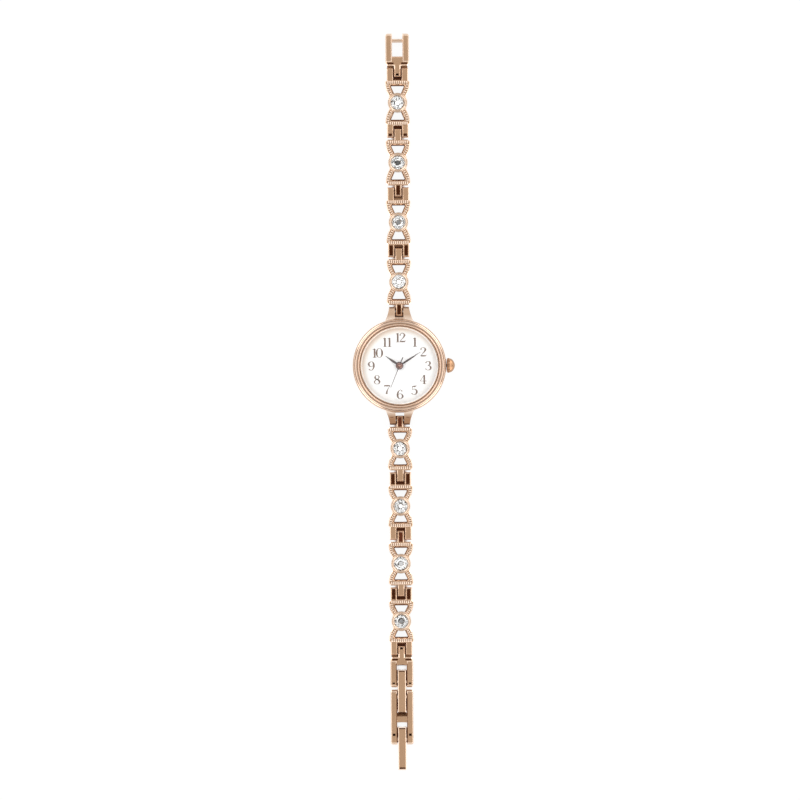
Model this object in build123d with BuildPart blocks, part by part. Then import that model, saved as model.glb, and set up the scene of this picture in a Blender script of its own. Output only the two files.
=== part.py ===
from build123d import *
from math import atan2, cos, degrees, pi, radians, sin
import os

# A ladies' bracelet watch lying flat and open, in millimetres.
# +X points at the crown, +Y at 12 o'clock, +Z out of the dial.
# The origin is the centre of the case back's outer face, which rests on z = 0.

os.makedirs("parts", exist_ok=True)

# Clearances and overruns
running_clearance = 0.04
slip_clearance = 0.1
cut_overrun = 1.0
join_overlap = 0.3

# Case middle, a barrel with a plain bore
case_radius = 11.7
case_wall = 1.75
case_foot_inset = 0.8
case_top_inset = 0.25
case_base_height = 0.6
case_belly_bottom = 1.8
case_belly_top = 3.7
case_top_height = 4.7

# Lugs, one forked lug at 12 and one at 6 o'clock
lug_length = 3.05
lug_root_depth = 0.8
lug_root_width = 7.4
lug_waist_width = 5.9
lug_waist_setback = 2.15
lug_tip_width = 4.95
lug_slot_gap = 0.75
lug_root_height = 3.5
lug_shoulder_height = 2.5
lug_shoulder_setback = 2.05
lug_tip_height = 1.7
lug_tip_bevel = 0.4

# Hinges of the bracelet
pin_radius = 0.35
pin_height = 0.8
pin_recess = 0.05
prong_reach = 1.15
tongue_reach = 1.15
pin_to_tongue_bar = 1.65
pin_to_prong_bar = 1.85
slot_width = 2.15
tongue_width = 1.65
prong_span = 5.35
end_bevel = 0.35

# Links: an hourglass frame with a stone cup in the middle
link_length_upper = 11.45
link_length_lower = 10.9
link_width = 6.1
link_thickness = 1.6
bar_width = 1.25
bar_corner = 0.5
neck_half_width = 2.15
neck_reach = 1.75
shoulder_half_width = 2.85
shoulder_drop = 2.3
window_half_width_bar = 1.9
window_half_width_cup = 1.0
window_corner = 0.35
window_foot_reach = 2.1
edge_bevel = 0.16
panel_width = 0.95
panel_depth = 0.2
panel_end_margin = 0.35

# Stone cup and stone
cup_radius = 2.45
cup_height = 1.95
cup_bevel = 0.25
cup_floor = 0.35
stone_radius = 1.72
stone_table_radius = 0.95
stone_culet_radius = 0.58
stone_sides = 12
stone_girdle_height = 1.55
stone_girdle_thickness = 0.1
stone_top_height = 2.35
stone_culet_height = 0.55
stone_clearance = 0.03

# End ring, on the 12 o'clock side
ring_length = 8.1
ring_width = 5.9
ring_slot_width = 2.6
ring_plate_length = 2.35
ring_bar_reach = 6.35

# Clasp base, on the 6 o'clock side
base_width = 5.7
base_plate_length = 2.1
base_tail_gap = 1.15

# Extension link between the two levers
extension_width = 5.65
extension_bar_reach = 1.85
extension_tip_gap = 0.95
extension_web_length = 1.5
extension_tail_gap = 1.25
extension_web_slope = 0.7

# What the clasp pieces share
clasp_slot_width = 2.45
clasp_corner = 0.4
clasp_edge_bevel = 0.26
clasp_end_bevel = 0.45
crossbar_radius = 0.48
lever_pin_margin = 1.35
pocket_width = 0.8
pocket_length = 0.55
pocket_depth = 0.25
pocket_end_margin = 0.35
slit_width = 0.45
slit_margin = 0.4
slit_depth = 0.3
slit_rim = 0.4

# Snap levers
lever_width = 2.0
lever_tail = 3.0
lever_hook_reach = 3.8
lever_tip_reach = 7.65
lever_hook_end = 4.9
lever_underside = 0.1
lever_top = 1.85
lever_tip_underside = 1.05
lever_corner = 0.25
hook_throat_share = 0.85

# Bezel and crystal, counted inwards from the case's edge
bezel_inset = 0.35
bezel_width = 1.75
bezel_shelf_width = 0.2
bezel_shelf_height = 5.35
bezel_belly_inset = 0.2
bezel_belly_height = 5.25
bezel_shoulder_width = 0.9
bezel_shoulder_height = 5.7
bezel_ridge_outer_width = 0.7
bezel_ridge_inner_width = 0.5
bezel_ridge_height = 5.95
bezel_lip_height = 5.6
crystal_bevel = 0.3
crystal_top_height = 6.15
crystal_bevel_drop = 0.4

# Snap-on case back
back_inset = 0.3
back_notch_width = 3.0
back_notch_depth = 0.3
back_notch_height = 0.25

# Dial and hands; the hands show the time at rest
dial_thickness = 0.3
dial_hole_radius = 0.75
rest_hour = 10
rest_minute = 9
rest_second = 33.7
hand_thickness = 0.15
hand_gap = 0.15
hand_belly_share = 0.33
hour_hand_length = 4.3
hour_hand_belly = 0.72
hour_hand_neck = 0.36
hour_hand_tip = 0.12
hour_hub_radius = 0.8
minute_hand_length = 6.3
minute_hand_belly = 0.6
minute_hand_neck = 0.3
minute_hand_tip = 0.1
minute_hub_radius = 0.95
second_hand_length = 5.9
second_hand_width = 0.16
second_hand_tip = 0.1
second_hand_tail = 2.3
second_hub_radius = 0.42

# Movement: main plate, train bridge, power and motion work
plate_top_height = 3.9
plate_bottom_height = 1.9
web_bottom_height = 3.1
web_top_height = 3.45
train_pocket_radius = 2.3
hour_pocket_radius = 1.85
web_hole_radius = 0.5
bridge_thickness = 0.35
bridge_land = 0.3
battery_rim = 0.4
battery_wall = 0.45
battery_thickness = 2.1
battery_angle = 215
battery_lift = 0.05
strap_width = 1.4
strap_thickness = 0.15
strap_land = 0.4
strap_angle = 45
coil_length = 6.4
coil_radius = 0.9
coil_rim = 3.45
board_thickness = 0.25
board_width = 3.2
board_rim = 0.65
seconds_arbor_radius = 0.13
seconds_wheel_radius = 1.9
wheel_thickness = 0.2
wheel_gap = 0.1
minute_tube_radius = 0.36
minute_wheel_radius = 1.5
hour_tube_radius = 0.6
hour_wheel_radius = 1.65

# Crown, stem and setting lever, on one axis
stem_height = 2.8
crown_radius = 1.85
crown_gap = 0.15
crown_length = 2.0
crown_skirt = 0.65
crown_shoulder = 1.4
crown_shoulder_radius = 1.45
crown_tip_radius = 0.6
stem_radius = 0.42
stem_inner_depth = 4.05
stem_seat_depth = 1.2
stem_groove_depth = 2.05
stem_groove_width = 0.4
stem_groove_radius = 0.24
setting_thickness = 0.3
setting_width = 1.7
setting_pocket_width = 2.1
setting_travel = 0.8
setting_bottom_margin = 0.25

# Heights that follow from the stack
dial_top = plate_top_height + dial_thickness
hour_hand_height = dial_top + 2 * hand_gap
minute_hand_height = hour_hand_height + hand_thickness + hand_gap
second_hand_height = minute_hand_height + hand_thickness + hand_gap / 2
battery_bottom = plate_bottom_height - bridge_thickness - battery_lift

# Radii and reaches that follow from the case's edge, walls and clearances
case_bore_radius = case_radius - case_wall
case_foot_radius = case_radius - case_foot_inset
case_top_radius = case_radius - case_top_inset
bezel_radius = case_radius - bezel_inset
crystal_radius = bezel_radius - bezel_width
plate_radius = case_bore_radius - slip_clearance
battery_radius = (plate_radius - battery_rim - train_pocket_radius - battery_wall) / 2
battery_reach = plate_radius - battery_rim - battery_radius
battery_x = battery_reach * cos(radians(battery_angle))
battery_y = battery_reach * sin(radians(battery_angle))
coil_y = plate_radius - coil_rim
coil_middle = web_bottom_height - wheel_gap - coil_radius
back_step_height = coil_middle - coil_radius - slip_clearance - case_base_height
stem_inner_reach = case_bore_radius - stem_inner_depth
stem_groove_reach = case_bore_radius - stem_groove_depth
crown_start = case_radius + crown_gap

# Lengths of the clasp pieces, which leave room for the levers' tails and tips
base_length = base_plate_length + base_tail_gap + lever_tail + lever_pin_margin
extension_web_reach = extension_bar_reach + lever_tip_reach - lever_hook_reach + extension_tip_gap
extension_pin_reach = extension_web_reach + extension_web_length + extension_tail_gap + lever_tail
extension_length = extension_pin_reach + lever_pin_margin

# Places along the bracelet, counted outwards from the case centre
lug_tip_reach = case_radius + lug_length
case_pin_reach = lug_tip_reach - prong_reach


def chainPlaces(link_length):
    """Frame starts of the four links, the reach of the five pins, and where the clasp piece starts."""
    starts, pins = [], [case_pin_reach]
    for index in range(4):
        bar_gap = pin_to_tongue_bar if index % 2 == 0 else pin_to_prong_bar
        starts.append(pins[-1] + bar_gap)
        pins.append(starts[-1] + link_length + bar_gap)
    return starts, pins, pins[-1] + pin_to_tongue_bar


def placed(piece, label, side, reach=0):
    """A copy of a chain piece at its reach: side 1 is towards 12 o'clock, side -1 towards 6."""
    turn = Location((0, 0, 0)) if side == 1 else Location((0, 0, 0), (0, 0, 180))
    copy = turn * Pos(0, reach, 0) * piece
    copy.label = label
    return copy


def save(piece, label):
    piece.label = label
    export_step(piece, f"parts/{label}.step")


def facetTaper(wide, narrow, height):
    """Slope of the facets between two of the stone's polygons, in degrees."""
    return degrees(atan2((wide - narrow) * cos(pi / stone_sides), height))


def quarterFrame(half_length):
    """Outline of one quarter of a link's frame: bar end, curved arm, neck."""
    half_width = link_width / 2
    with BuildLine() as outline:
        bar = Line((0, half_length), (half_width - bar_corner, half_length))
        corner = Line(bar @ 1, (half_width, half_length - bar_corner))
        arm = ThreePointArc(
            corner @ 1,
            (shoulder_half_width, half_length - shoulder_drop),
            (neck_half_width, neck_reach),
        )
        Polyline(arm @ 1, (neck_half_width, 0), (0, 0), bar @ 0)
    return outline.line


def windowOutline(half_length):
    """The see-through trapezoid between the bar and the cup."""
    head = half_length - bar_width
    return Polyline(
        (-window_half_width_cup, window_foot_reach),
        (window_half_width_cup, window_foot_reach),
        (window_half_width_bar, head - window_corner),
        (window_half_width_bar - window_corner, head),
        (window_corner - window_half_width_bar, head),
        (-window_half_width_bar, head - window_corner),
        close=True,
        mode=Mode.PRIVATE,
    )


def linkFrame(link_length, has_prongs):
    """A link with its centre at the stone; its inward end, towards the case, is at -Y."""
    half_length = link_length / 2
    bar_to_pin = pin_to_prong_bar if has_prongs else pin_to_tongue_bar
    knuckle_reach = bar_to_pin + (prong_reach if has_prongs else tongue_reach)
    full_half = half_length + knuckle_reach
    knuckle_middle = half_length + (knuckle_reach - join_overlap) / 2
    knuckle_length = knuckle_reach + join_overlap
    prong_width = (prong_span - slot_width) / 2
    prong_x = (prong_span + slot_width) / 4
    knuckle_width = prong_width if has_prongs else tongue_width
    knuckle_xs = (-prong_x, prong_x) if has_prongs else (0,)
    with BuildPart() as link:
        with BuildSketch() as plan:
            with BuildLine():
                add(quarterFrame(half_length))
            make_face()
            mirror(about=Plane.YZ)
            mirror(about=Plane.XZ)
            with Locations([(x, y) for x in knuckle_xs for y in (-knuckle_middle, knuckle_middle)]):
                Rectangle(knuckle_width, knuckle_length)
        extrude(amount=link_thickness)
        with BuildSketch():
            with BuildLine():
                add(windowOutline(half_length))
            make_face()
            mirror(about=Plane.XZ)
        extrude(amount=link_thickness, mode=Mode.SUBTRACT)
        chamfer(link.faces().sort_by(Axis.Z)[-1].edges(), edge_bevel)
        with BuildSketch(Plane.YZ) as side:
            with Locations((0, link_thickness / 2)):
                Rectangle(2 * full_half, link_thickness)
            chamfer(side.vertices(), end_bevel)
        extrude(amount=link_width, both=True, mode=Mode.INTERSECT)
        with BuildSketch():
            Circle(cup_radius)
        extrude(amount=cup_height)
        chamfer(link.edges().group_by(Axis.Z)[-1], cup_bevel)
        with BuildSketch(Plane.XY.offset(stone_girdle_height)):
            RegularPolygon(stone_radius + stone_clearance, stone_sides)
        extrude(amount=cup_height, mode=Mode.SUBTRACT)
        seat = pavilionBlank(stone_radius + stone_clearance, stone_girdle_height - cup_floor)
        add(seat, mode=Mode.SUBTRACT)
        panel_length = knuckle_reach - panel_end_margin
        with BuildSketch(Plane.XY.offset(link_thickness - panel_depth)):
            with Locations([(x, -half_length - panel_length / 2) for x in knuckle_xs]):
                Rectangle(panel_width, panel_length)
        extrude(amount=panel_depth + cut_overrun, mode=Mode.SUBTRACT)
        with BuildSketch(Plane.YZ):
            for end in (-1, 1):
                with Locations((end * (half_length + bar_to_pin), pin_height)):
                    Circle(pin_radius if has_prongs else pin_radius + running_clearance)
        if has_prongs:
            # the pins are pressed in the prongs and count as one piece with them
            extrude(amount=slot_width / 2 + join_overlap, both=True)
        else:
            extrude(amount=link_width, both=True, mode=Mode.SUBTRACT)
    return link.part


def pavilionBlank(wide, depth):
    """The facets that narrow downwards from the girdle to the culet."""
    with BuildPart() as pavilion:
        with BuildSketch(Plane.XY.offset(stone_girdle_height)):
            RegularPolygon(wide, stone_sides)
        extrude(amount=depth, taper=facetTaper(wide, stone_culet_radius, depth))
    return pavilion.part.mirror(Plane.XY.offset(stone_girdle_height))


def brilliantStone():
    """A round stone with flat crown and pavilion facets."""
    girdle_top = stone_girdle_height + stone_girdle_thickness
    crown_height = stone_top_height - girdle_top
    with BuildPart() as stone:
        with BuildSketch(Plane.XY.offset(stone_girdle_height)):
            RegularPolygon(stone_radius, stone_sides)
        extrude(amount=stone_girdle_thickness)
        with BuildSketch(Plane.XY.offset(girdle_top)):
            RegularPolygon(stone_radius, stone_sides)
        crown_taper = facetTaper(stone_radius, stone_table_radius, crown_height)
        extrude(amount=crown_height, taper=crown_taper)
        add(pavilionBlank(stone_radius, stone_girdle_height - stone_culet_height))
    return stone.part


def crossPin(radius, length):
    """A plain round bar across the bracelet, centred on the hinge axis at y = 0."""
    with BuildPart() as pin:
        with BuildSketch(Plane.YZ):
            with Locations((0, pin_height)):
                Circle(radius)
        extrude(amount=length / 2, both=True)
    return pin.part


def forkPiece(length, width, plate_length, slot, cross_reach, cross_radius):
    """A plate with a tongue towards the case and two rails joined by a cross bar."""
    tongue_length = pin_to_tongue_bar + tongue_reach
    with BuildPart() as fork:
        with BuildSketch() as plan:
            with Locations((0, length / 2)):
                Rectangle(width, length)
            chamfer(plan.vertices(), clasp_corner)
            with Locations((0, plate_length + length / 2)):
                Rectangle(slot, length, mode=Mode.SUBTRACT)
            with Locations((0, (join_overlap - tongue_length) / 2)):
                Rectangle(tongue_width, tongue_length + join_overlap)
        extrude(amount=link_thickness)
        chamfer(fork.faces().sort_by(Axis.Z)[-1].edges(), clasp_edge_bevel)
        with BuildSketch(Plane.YZ) as side:
            with Locations(((length - tongue_length) / 2, link_thickness / 2)):
                Rectangle(length + tongue_length, link_thickness)
            chamfer(side.vertices(), clasp_end_bevel)
        extrude(amount=width, both=True, mode=Mode.INTERSECT)
        with BuildSketch(Plane.XY.offset(link_thickness - pocket_depth)):
            with Locations((0, pocket_end_margin + pocket_length / 2 - tongue_length)):
                Rectangle(pocket_width, pocket_length)
        extrude(amount=pocket_depth + cut_overrun, mode=Mode.SUBTRACT)
        slit_length = width / 2 - slit_rim - tongue_width / 2
        slit_x = (tongue_width + slit_length) / 2
        with BuildSketch(Plane.XY.offset(link_thickness - slit_depth)):
            with Locations([(x, slit_margin + slit_width / 2) for x in (-slit_x, slit_x)]):
                Rectangle(slit_length, slit_width)
        extrude(amount=slit_depth + cut_overrun, mode=Mode.SUBTRACT)
        with BuildSketch(Plane.YZ):
            with Locations((-pin_to_tongue_bar, pin_height)):
                Circle(pin_radius + running_clearance)
        extrude(amount=tongue_width, both=True, mode=Mode.SUBTRACT)
        # the bar across the rails is riveted in them and counts as one piece with them
        with BuildSketch(Plane.YZ):
            with Locations((cross_reach, pin_height)):
                Circle(cross_radius)
        extrude(amount=slot / 2 + join_overlap, both=True)
    return fork.part


def extensionLink():
    """Two rails joined by a web: the inner lever snaps on one end, the outer lever pivots in the other."""
    with BuildPart() as extension:
        with BuildSketch() as plan:
            with Locations((0, extension_length / 2)):
                Rectangle(extension_width, extension_length)
                chamfer(plan.vertices(), clasp_corner)
                Rectangle(clasp_slot_width, extension_length, mode=Mode.SUBTRACT)
        extrude(amount=link_thickness)
        chamfer(extension.faces().group_by(Axis.Z)[-1].edges(), clasp_edge_bevel)
        with BuildSketch(Plane.YZ) as side:
            with Locations((extension_length / 2, link_thickness / 2)):
                Rectangle(extension_length, link_thickness)
            chamfer(side.vertices(), clasp_end_bevel)
        extrude(amount=extension_width, both=True, mode=Mode.INTERSECT)
        with BuildSketch(Plane.YZ):
            with BuildLine():
                Polyline(
                    (extension_web_reach - extension_web_slope, 0),
                    (extension_web_reach + extension_web_length, 0),
                    (extension_web_reach + extension_web_length, link_thickness - clasp_edge_bevel),
                    (extension_web_reach, link_thickness - clasp_edge_bevel),
                    close=True,
                )
            make_face()
        extrude(amount=clasp_slot_width / 2 + join_overlap, both=True)
        with BuildSketch(Plane.YZ):
            with Locations((extension_bar_reach, pin_height)):
                Circle(crossbar_radius)
            with Locations((extension_pin_reach, pin_height)):
                Circle(pin_radius)
        extrude(amount=clasp_slot_width / 2 + join_overlap, both=True)
    return extension.part


def snapLever():
    """A lever with its pivot at y = 0: square tail inwards, hook and finger tab outwards."""
    hook_radius = crossbar_radius + running_clearance
    throat = 2 * crossbar_radius * hook_throat_share
    with BuildPart() as lever:
        with BuildSketch(Plane.YZ) as side:
            with BuildLine():
                Polyline(
                    (lever_corner - lever_tail, lever_underside),
                    (lever_hook_end, lever_underside),
                    (lever_tip_reach, lever_tip_underside),
                    (lever_tip_reach, lever_top - lever_corner),
                    (lever_tip_reach - lever_corner, lever_top),
                    (lever_corner - lever_tail, lever_top),
                    (-lever_tail, lever_top - lever_corner),
                    (-lever_tail, lever_underside + lever_corner),
                    close=True,
                )
            make_face()
            with Locations((0, pin_height)):
                Circle(pin_radius + running_clearance, mode=Mode.SUBTRACT)
            with Locations((lever_hook_reach, pin_height)):
                Circle(hook_radius, mode=Mode.SUBTRACT)
            with Locations((lever_hook_reach, lever_underside)):
                Rectangle(throat, 2 * (pin_height - lever_underside), mode=Mode.SUBTRACT)
        extrude(amount=lever_width / 2, both=True)
        long_edges = lever.edges().filter_by(Axis.Y).group_by(Axis.Z)[-1]
        chamfer(long_edges, edge_bevel)
    return lever.part


def lugBlank():
    """One lug as a sloping wedge with a slot for the first link's tongue, pointing at +Y."""
    root_reach = case_radius - lug_root_depth
    slot_floor = case_pin_reach - tongue_reach - lug_slot_gap
    with BuildPart() as lug:
        with BuildSketch(Plane.YZ):
            with BuildLine():
                foot = Polyline(
                    (root_reach, lug_root_height),
                    (root_reach, 0),
                    (lug_tip_reach - lug_tip_bevel, 0),
                    (lug_tip_reach, lug_tip_bevel),
                    (lug_tip_reach, lug_tip_height - lug_tip_bevel),
                    (lug_tip_reach - lug_tip_bevel, lug_tip_height),
                )
                shoulder = (lug_tip_reach - lug_shoulder_setback, lug_shoulder_height)
                ThreePointArc(foot @ 1, shoulder, foot @ 0)
            make_face()
        extrude(amount=lug_root_width / 2, both=True)
        with BuildSketch():
            with BuildLine():
                waist_reach = lug_tip_reach - lug_waist_setback
                tip = Line((-lug_tip_width / 2, lug_tip_reach), (lug_tip_width / 2, lug_tip_reach))
                right = ThreePointArc(
                    tip @ 1, (lug_waist_width / 2, waist_reach), (lug_root_width / 2, root_reach)
                )
                left = ThreePointArc(
                    tip @ 0, (-lug_waist_width / 2, waist_reach), (-lug_root_width / 2, root_reach)
                )
                Line(left @ 1, right @ 1)
            make_face()
        extrude(amount=lug_root_height, mode=Mode.INTERSECT)
        with BuildSketch():
            with Locations((0, (slot_floor + lug_tip_reach + cut_overrun) / 2)):
                Rectangle(slot_width, lug_tip_reach + cut_overrun - slot_floor)
        extrude(amount=lug_root_height, mode=Mode.SUBTRACT)
        with BuildSketch(Plane.YZ):
            with Locations((case_pin_reach, pin_height)):
                Circle(pin_radius)
        extrude(amount=lug_root_width, both=True, mode=Mode.SUBTRACT)
    return lug.part


def caseBody():
    lug = lugBlank()
    with BuildPart() as case:
        with BuildSketch(Plane.XZ):
            with BuildLine():
                Polyline(
                    (case_bore_radius, case_base_height),
                    (case_foot_radius, case_base_height),
                    (case_radius, case_belly_bottom),
                    (case_radius, case_belly_top),
                    (case_top_radius, case_top_height),
                    (case_bore_radius, case_top_height),
                    close=True,
                )
            make_face()
        revolve(axis=Axis.Z)
        add(lug)
        add(lug.mirror(Plane.XZ))
        with BuildSketch(Plane.YZ.offset(case_bore_radius - cut_overrun)):
            with Locations((0, stem_height)):
                Circle(stem_radius + running_clearance)
        extrude(amount=case_radius, mode=Mode.SUBTRACT)
    return case.part


def bezelRing():
    shelf_radius = crystal_radius - bezel_shelf_width
    with BuildPart() as bezel:
        with BuildSketch(Plane.XZ):
            with BuildLine():
                Polyline(
                    (bezel_radius, case_top_height),
                    (shelf_radius, case_top_height),
                    (shelf_radius, bezel_shelf_height),
                    (crystal_radius, bezel_shelf_height),
                    (crystal_radius, bezel_lip_height),
                    (crystal_radius + bezel_ridge_inner_width, bezel_ridge_height),
                    (crystal_radius + bezel_ridge_outer_width, bezel_ridge_height),
                    (crystal_radius + bezel_shoulder_width, bezel_shoulder_height),
                    (bezel_radius - bezel_belly_inset, bezel_belly_height),
                    close=True,
                )
            make_face()
        revolve(axis=Axis.Z)
    return bezel.part


def crystalDisc():
    with BuildPart() as crystal:
        with BuildSketch(Plane.XZ):
            with BuildLine():
                Polyline(
                    (0, crystal_top_height),
                    (0, bezel_shelf_height),
                    (crystal_radius, bezel_shelf_height),
                    (crystal_radius, crystal_top_height - crystal_bevel_drop),
                    (crystal_radius - crystal_bevel, crystal_top_height),
                    close=True,
                )
            make_face()
        revolve(axis=Axis.Z)
    return crystal.part


def caseBack():
    back_radius = case_foot_radius - back_inset
    with BuildPart() as back:
        with BuildSketch():
            Circle(back_radius)
        extrude(amount=case_base_height)
        with BuildSketch(Plane.XY.offset(case_base_height)):
            Circle(case_bore_radius - running_clearance)
        extrude(amount=back_step_height)
        # a shallow notch in the rim takes the opening knife
        with BuildSketch(Plane.XY.offset(case_base_height - back_notch_height)):
            with Locations((0, -back_radius)):
                Rectangle(back_notch_width, 2 * back_notch_depth)
        extrude(amount=back_notch_height, mode=Mode.SUBTRACT)
    return back.part


def dialDisc():
    with BuildPart() as dial:
        with BuildSketch(Plane.XY.offset(plate_top_height)):
            Circle(plate_radius)
            Circle(dial_hole_radius, mode=Mode.SUBTRACT)
        extrude(amount=dial_thickness)
    return dial.part


def handBlade(length, belly, neck, tip, tail, hub_radius, hole_radius, height, angle):
    """A leaf-shaped hand pressed on its tube, turned clockwise from 12 o'clock by its angle."""
    tail_end = [(-neck / 2, -tail), (neck / 2, -tail)] if tail else []
    with BuildPart() as hand:
        with BuildSketch(Plane.XY.offset(height)):
            with BuildLine():
                Polyline(
                    *tail_end,
                    (neck / 2, 0),
                    (belly / 2, length * hand_belly_share),
                    (tip / 2, length),
                    (-tip / 2, length),
                    (-belly / 2, length * hand_belly_share),
                    (-neck / 2, 0),
                    close=True,
                )
            make_face()
            Circle(hub_radius)
            Circle(hole_radius, mode=Mode.SUBTRACT)
        extrude(amount=hand_thickness)
    return hand.part.rotate(Axis.Z, -angle)


def wheelOnTube(wheel_radius, wheel_bottom, tube_radius, bore_radius, top):
    """A wheel blank carried by the tube or arbor that reaches up to its hand."""
    with BuildPart() as wheel:
        with BuildSketch(Plane.XY.offset(wheel_bottom)):
            Circle(wheel_radius)
        extrude(amount=wheel_thickness)
        with BuildSketch(Plane.XY.offset(wheel_bottom)):
            Circle(tube_radius)
        extrude(amount=top - wheel_bottom)
        if bore_radius:
            with BuildSketch(Plane.XY.offset(wheel_bottom)):
                Circle(bore_radius)
            extrude(amount=top - wheel_bottom, mode=Mode.SUBTRACT)
    return wheel.part


def mainPlate():
    setting_pocket_end = stem_groove_reach + stem_groove_width + setting_travel + slip_clearance
    with BuildPart() as plate:
        with BuildSketch(Plane.XY.offset(plate_bottom_height)):
            Circle(plate_radius)
            with Locations((battery_x, battery_y)):
                Circle(battery_radius + slip_clearance, mode=Mode.SUBTRACT)
        extrude(amount=plate_top_height - plate_bottom_height)
        with BuildSketch(Plane.XY.offset(plate_bottom_height)):
            Circle(train_pocket_radius)
            with Locations((0, coil_y)):
                Rectangle(coil_length + 2 * slip_clearance, 2 * (coil_radius + slip_clearance))
        extrude(amount=web_bottom_height - plate_bottom_height, mode=Mode.SUBTRACT)
        with BuildSketch(Plane.XY.offset(web_top_height)):
            Circle(hour_pocket_radius)
        extrude(amount=plate_top_height - web_top_height, mode=Mode.SUBTRACT)
        with BuildSketch(Plane.XY.offset(web_bottom_height)):
            Circle(web_hole_radius)
        extrude(amount=web_top_height - web_bottom_height, mode=Mode.SUBTRACT)
        with BuildSketch(Plane.XY.offset(plate_bottom_height)):
            pocket_start = stem_groove_reach - slip_clearance
            with Locations(((pocket_start + setting_pocket_end) / 2, 0)):
                Rectangle(setting_pocket_end - pocket_start, setting_pocket_width)
        extrude(amount=web_top_height - plate_bottom_height, mode=Mode.SUBTRACT)
        # the stem lies in a channel that is open towards the back
        with BuildSketch(Plane.XY.offset(plate_bottom_height)):
            channel_start = stem_inner_reach - slip_clearance
            with Locations(((channel_start + plate_radius) / 2, 0)):
                Rectangle(plate_radius - channel_start, 2 * (stem_radius + slip_clearance))
        channel_top = stem_height + stem_radius + slip_clearance
        extrude(amount=channel_top - plate_bottom_height, mode=Mode.SUBTRACT)
    return plate.part


def crownCap():
    """A crown with a short skirt and a domed end, round the stem's axis."""
    with BuildPart() as crown:
        with BuildSketch(Plane.XZ):
            with BuildLine():
                Polyline(
                    (crown_start, stem_height),
                    (crown_start, stem_height + crown_radius),
                    (crown_start + crown_skirt, stem_height + crown_radius),
                    (crown_start + crown_shoulder, stem_height + crown_shoulder_radius),
                    (crown_start + crown_length, stem_height + crown_tip_radius),
                    (crown_start + crown_length, stem_height),
                    close=True,
                )
            make_face()
        revolve(axis=Axis((0, 0, stem_height), (1, 0, 0)))
        with BuildSketch(Plane.YZ.offset(crown_start)):
            with Locations((0, stem_height)):
                Circle(stem_radius)
        extrude(amount=stem_seat_depth, mode=Mode.SUBTRACT)
    return crown.part


def windingStem():
    with BuildPart() as stem:
        with BuildSketch(Plane.YZ.offset(stem_inner_reach)):
            with Locations((0, stem_height)):
                Circle(stem_radius)
        extrude(amount=crown_start + stem_seat_depth - stem_inner_reach)
        with BuildSketch(Plane.YZ.offset(stem_groove_reach)):
            with Locations((0, stem_height)):
                Circle(stem_radius + cut_overrun)
                Circle(stem_groove_radius, mode=Mode.SUBTRACT)
        extrude(amount=stem_groove_width, mode=Mode.SUBTRACT)
    return stem.part


def settingLever():
    """A small fork in the stem's groove, which moves in and out with the crown."""
    lever_start = stem_groove_reach + (stem_groove_width - setting_thickness) / 2
    bottom = plate_bottom_height + setting_bottom_margin
    top = web_top_height - slip_clearance
    fork_width = 2 * (stem_groove_radius + running_clearance)
    with BuildPart() as lever:
        with BuildSketch(Plane.YZ.offset(lever_start)):
            with Locations((0, (bottom + top) / 2)):
                Rectangle(setting_width, top - bottom)
            with Locations((0, stem_height)):
                Circle(fork_width / 2, mode=Mode.SUBTRACT)
            with Locations((0, (bottom + stem_height) / 2)):
                Rectangle(fork_width, stem_height - bottom, mode=Mode.SUBTRACT)
        extrude(amount=setting_thickness)
    return lever.part


# Head: case, glass and dial
save(caseBody(), "case_body")
save(bezelRing(), "bezel")
save(crystalDisc(), "crystal")
save(caseBack(), "case_back")
save(dialDisc(), "dial")

# Hands and the wheels that carry them
second_angle = 6 * rest_second
minute_angle = 6 * (rest_minute + rest_second / 60)
hour_angle = 30 * rest_hour + minute_angle / 12
seconds_wheel_bottom = plate_bottom_height + wheel_gap
minute_wheel_bottom = web_bottom_height - wheel_gap - wheel_thickness
hour_wheel_bottom = web_top_height + wheel_gap
minute_bore = seconds_arbor_radius + running_clearance
hour_bore = minute_tube_radius + running_clearance
save(
    handBlade(
        hour_hand_length, hour_hand_belly, hour_hand_neck, hour_hand_tip, 0,
        hour_hub_radius, hour_tube_radius, hour_hand_height, hour_angle,
    ),
    "hour_hand",
)
save(
    handBlade(
        minute_hand_length, minute_hand_belly, minute_hand_neck, minute_hand_tip, 0,
        minute_hub_radius, minute_tube_radius, minute_hand_height, minute_angle,
    ),
    "minute_hand",
)
save(
    handBlade(
        second_hand_length, second_hand_width, second_hand_width, second_hand_tip, second_hand_tail,
        second_hub_radius, seconds_arbor_radius, second_hand_height, second_angle,
    ),
    "second_hand",
)
save(
    wheelOnTube(
        hour_wheel_radius, hour_wheel_bottom, hour_tube_radius, hour_bore,
        hour_hand_height + hand_thickness,
    ),
    "hour_wheel",
)
save(
    wheelOnTube(
        minute_wheel_radius, minute_wheel_bottom, minute_tube_radius, minute_bore,
        minute_hand_height + hand_thickness,
    ),
    "cannon_pinion",
)
save(
    wheelOnTube(
        seconds_wheel_radius, seconds_wheel_bottom, seconds_arbor_radius, 0,
        second_hand_height + hand_thickness,
    ),
    "seconds_wheel",
)

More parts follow.
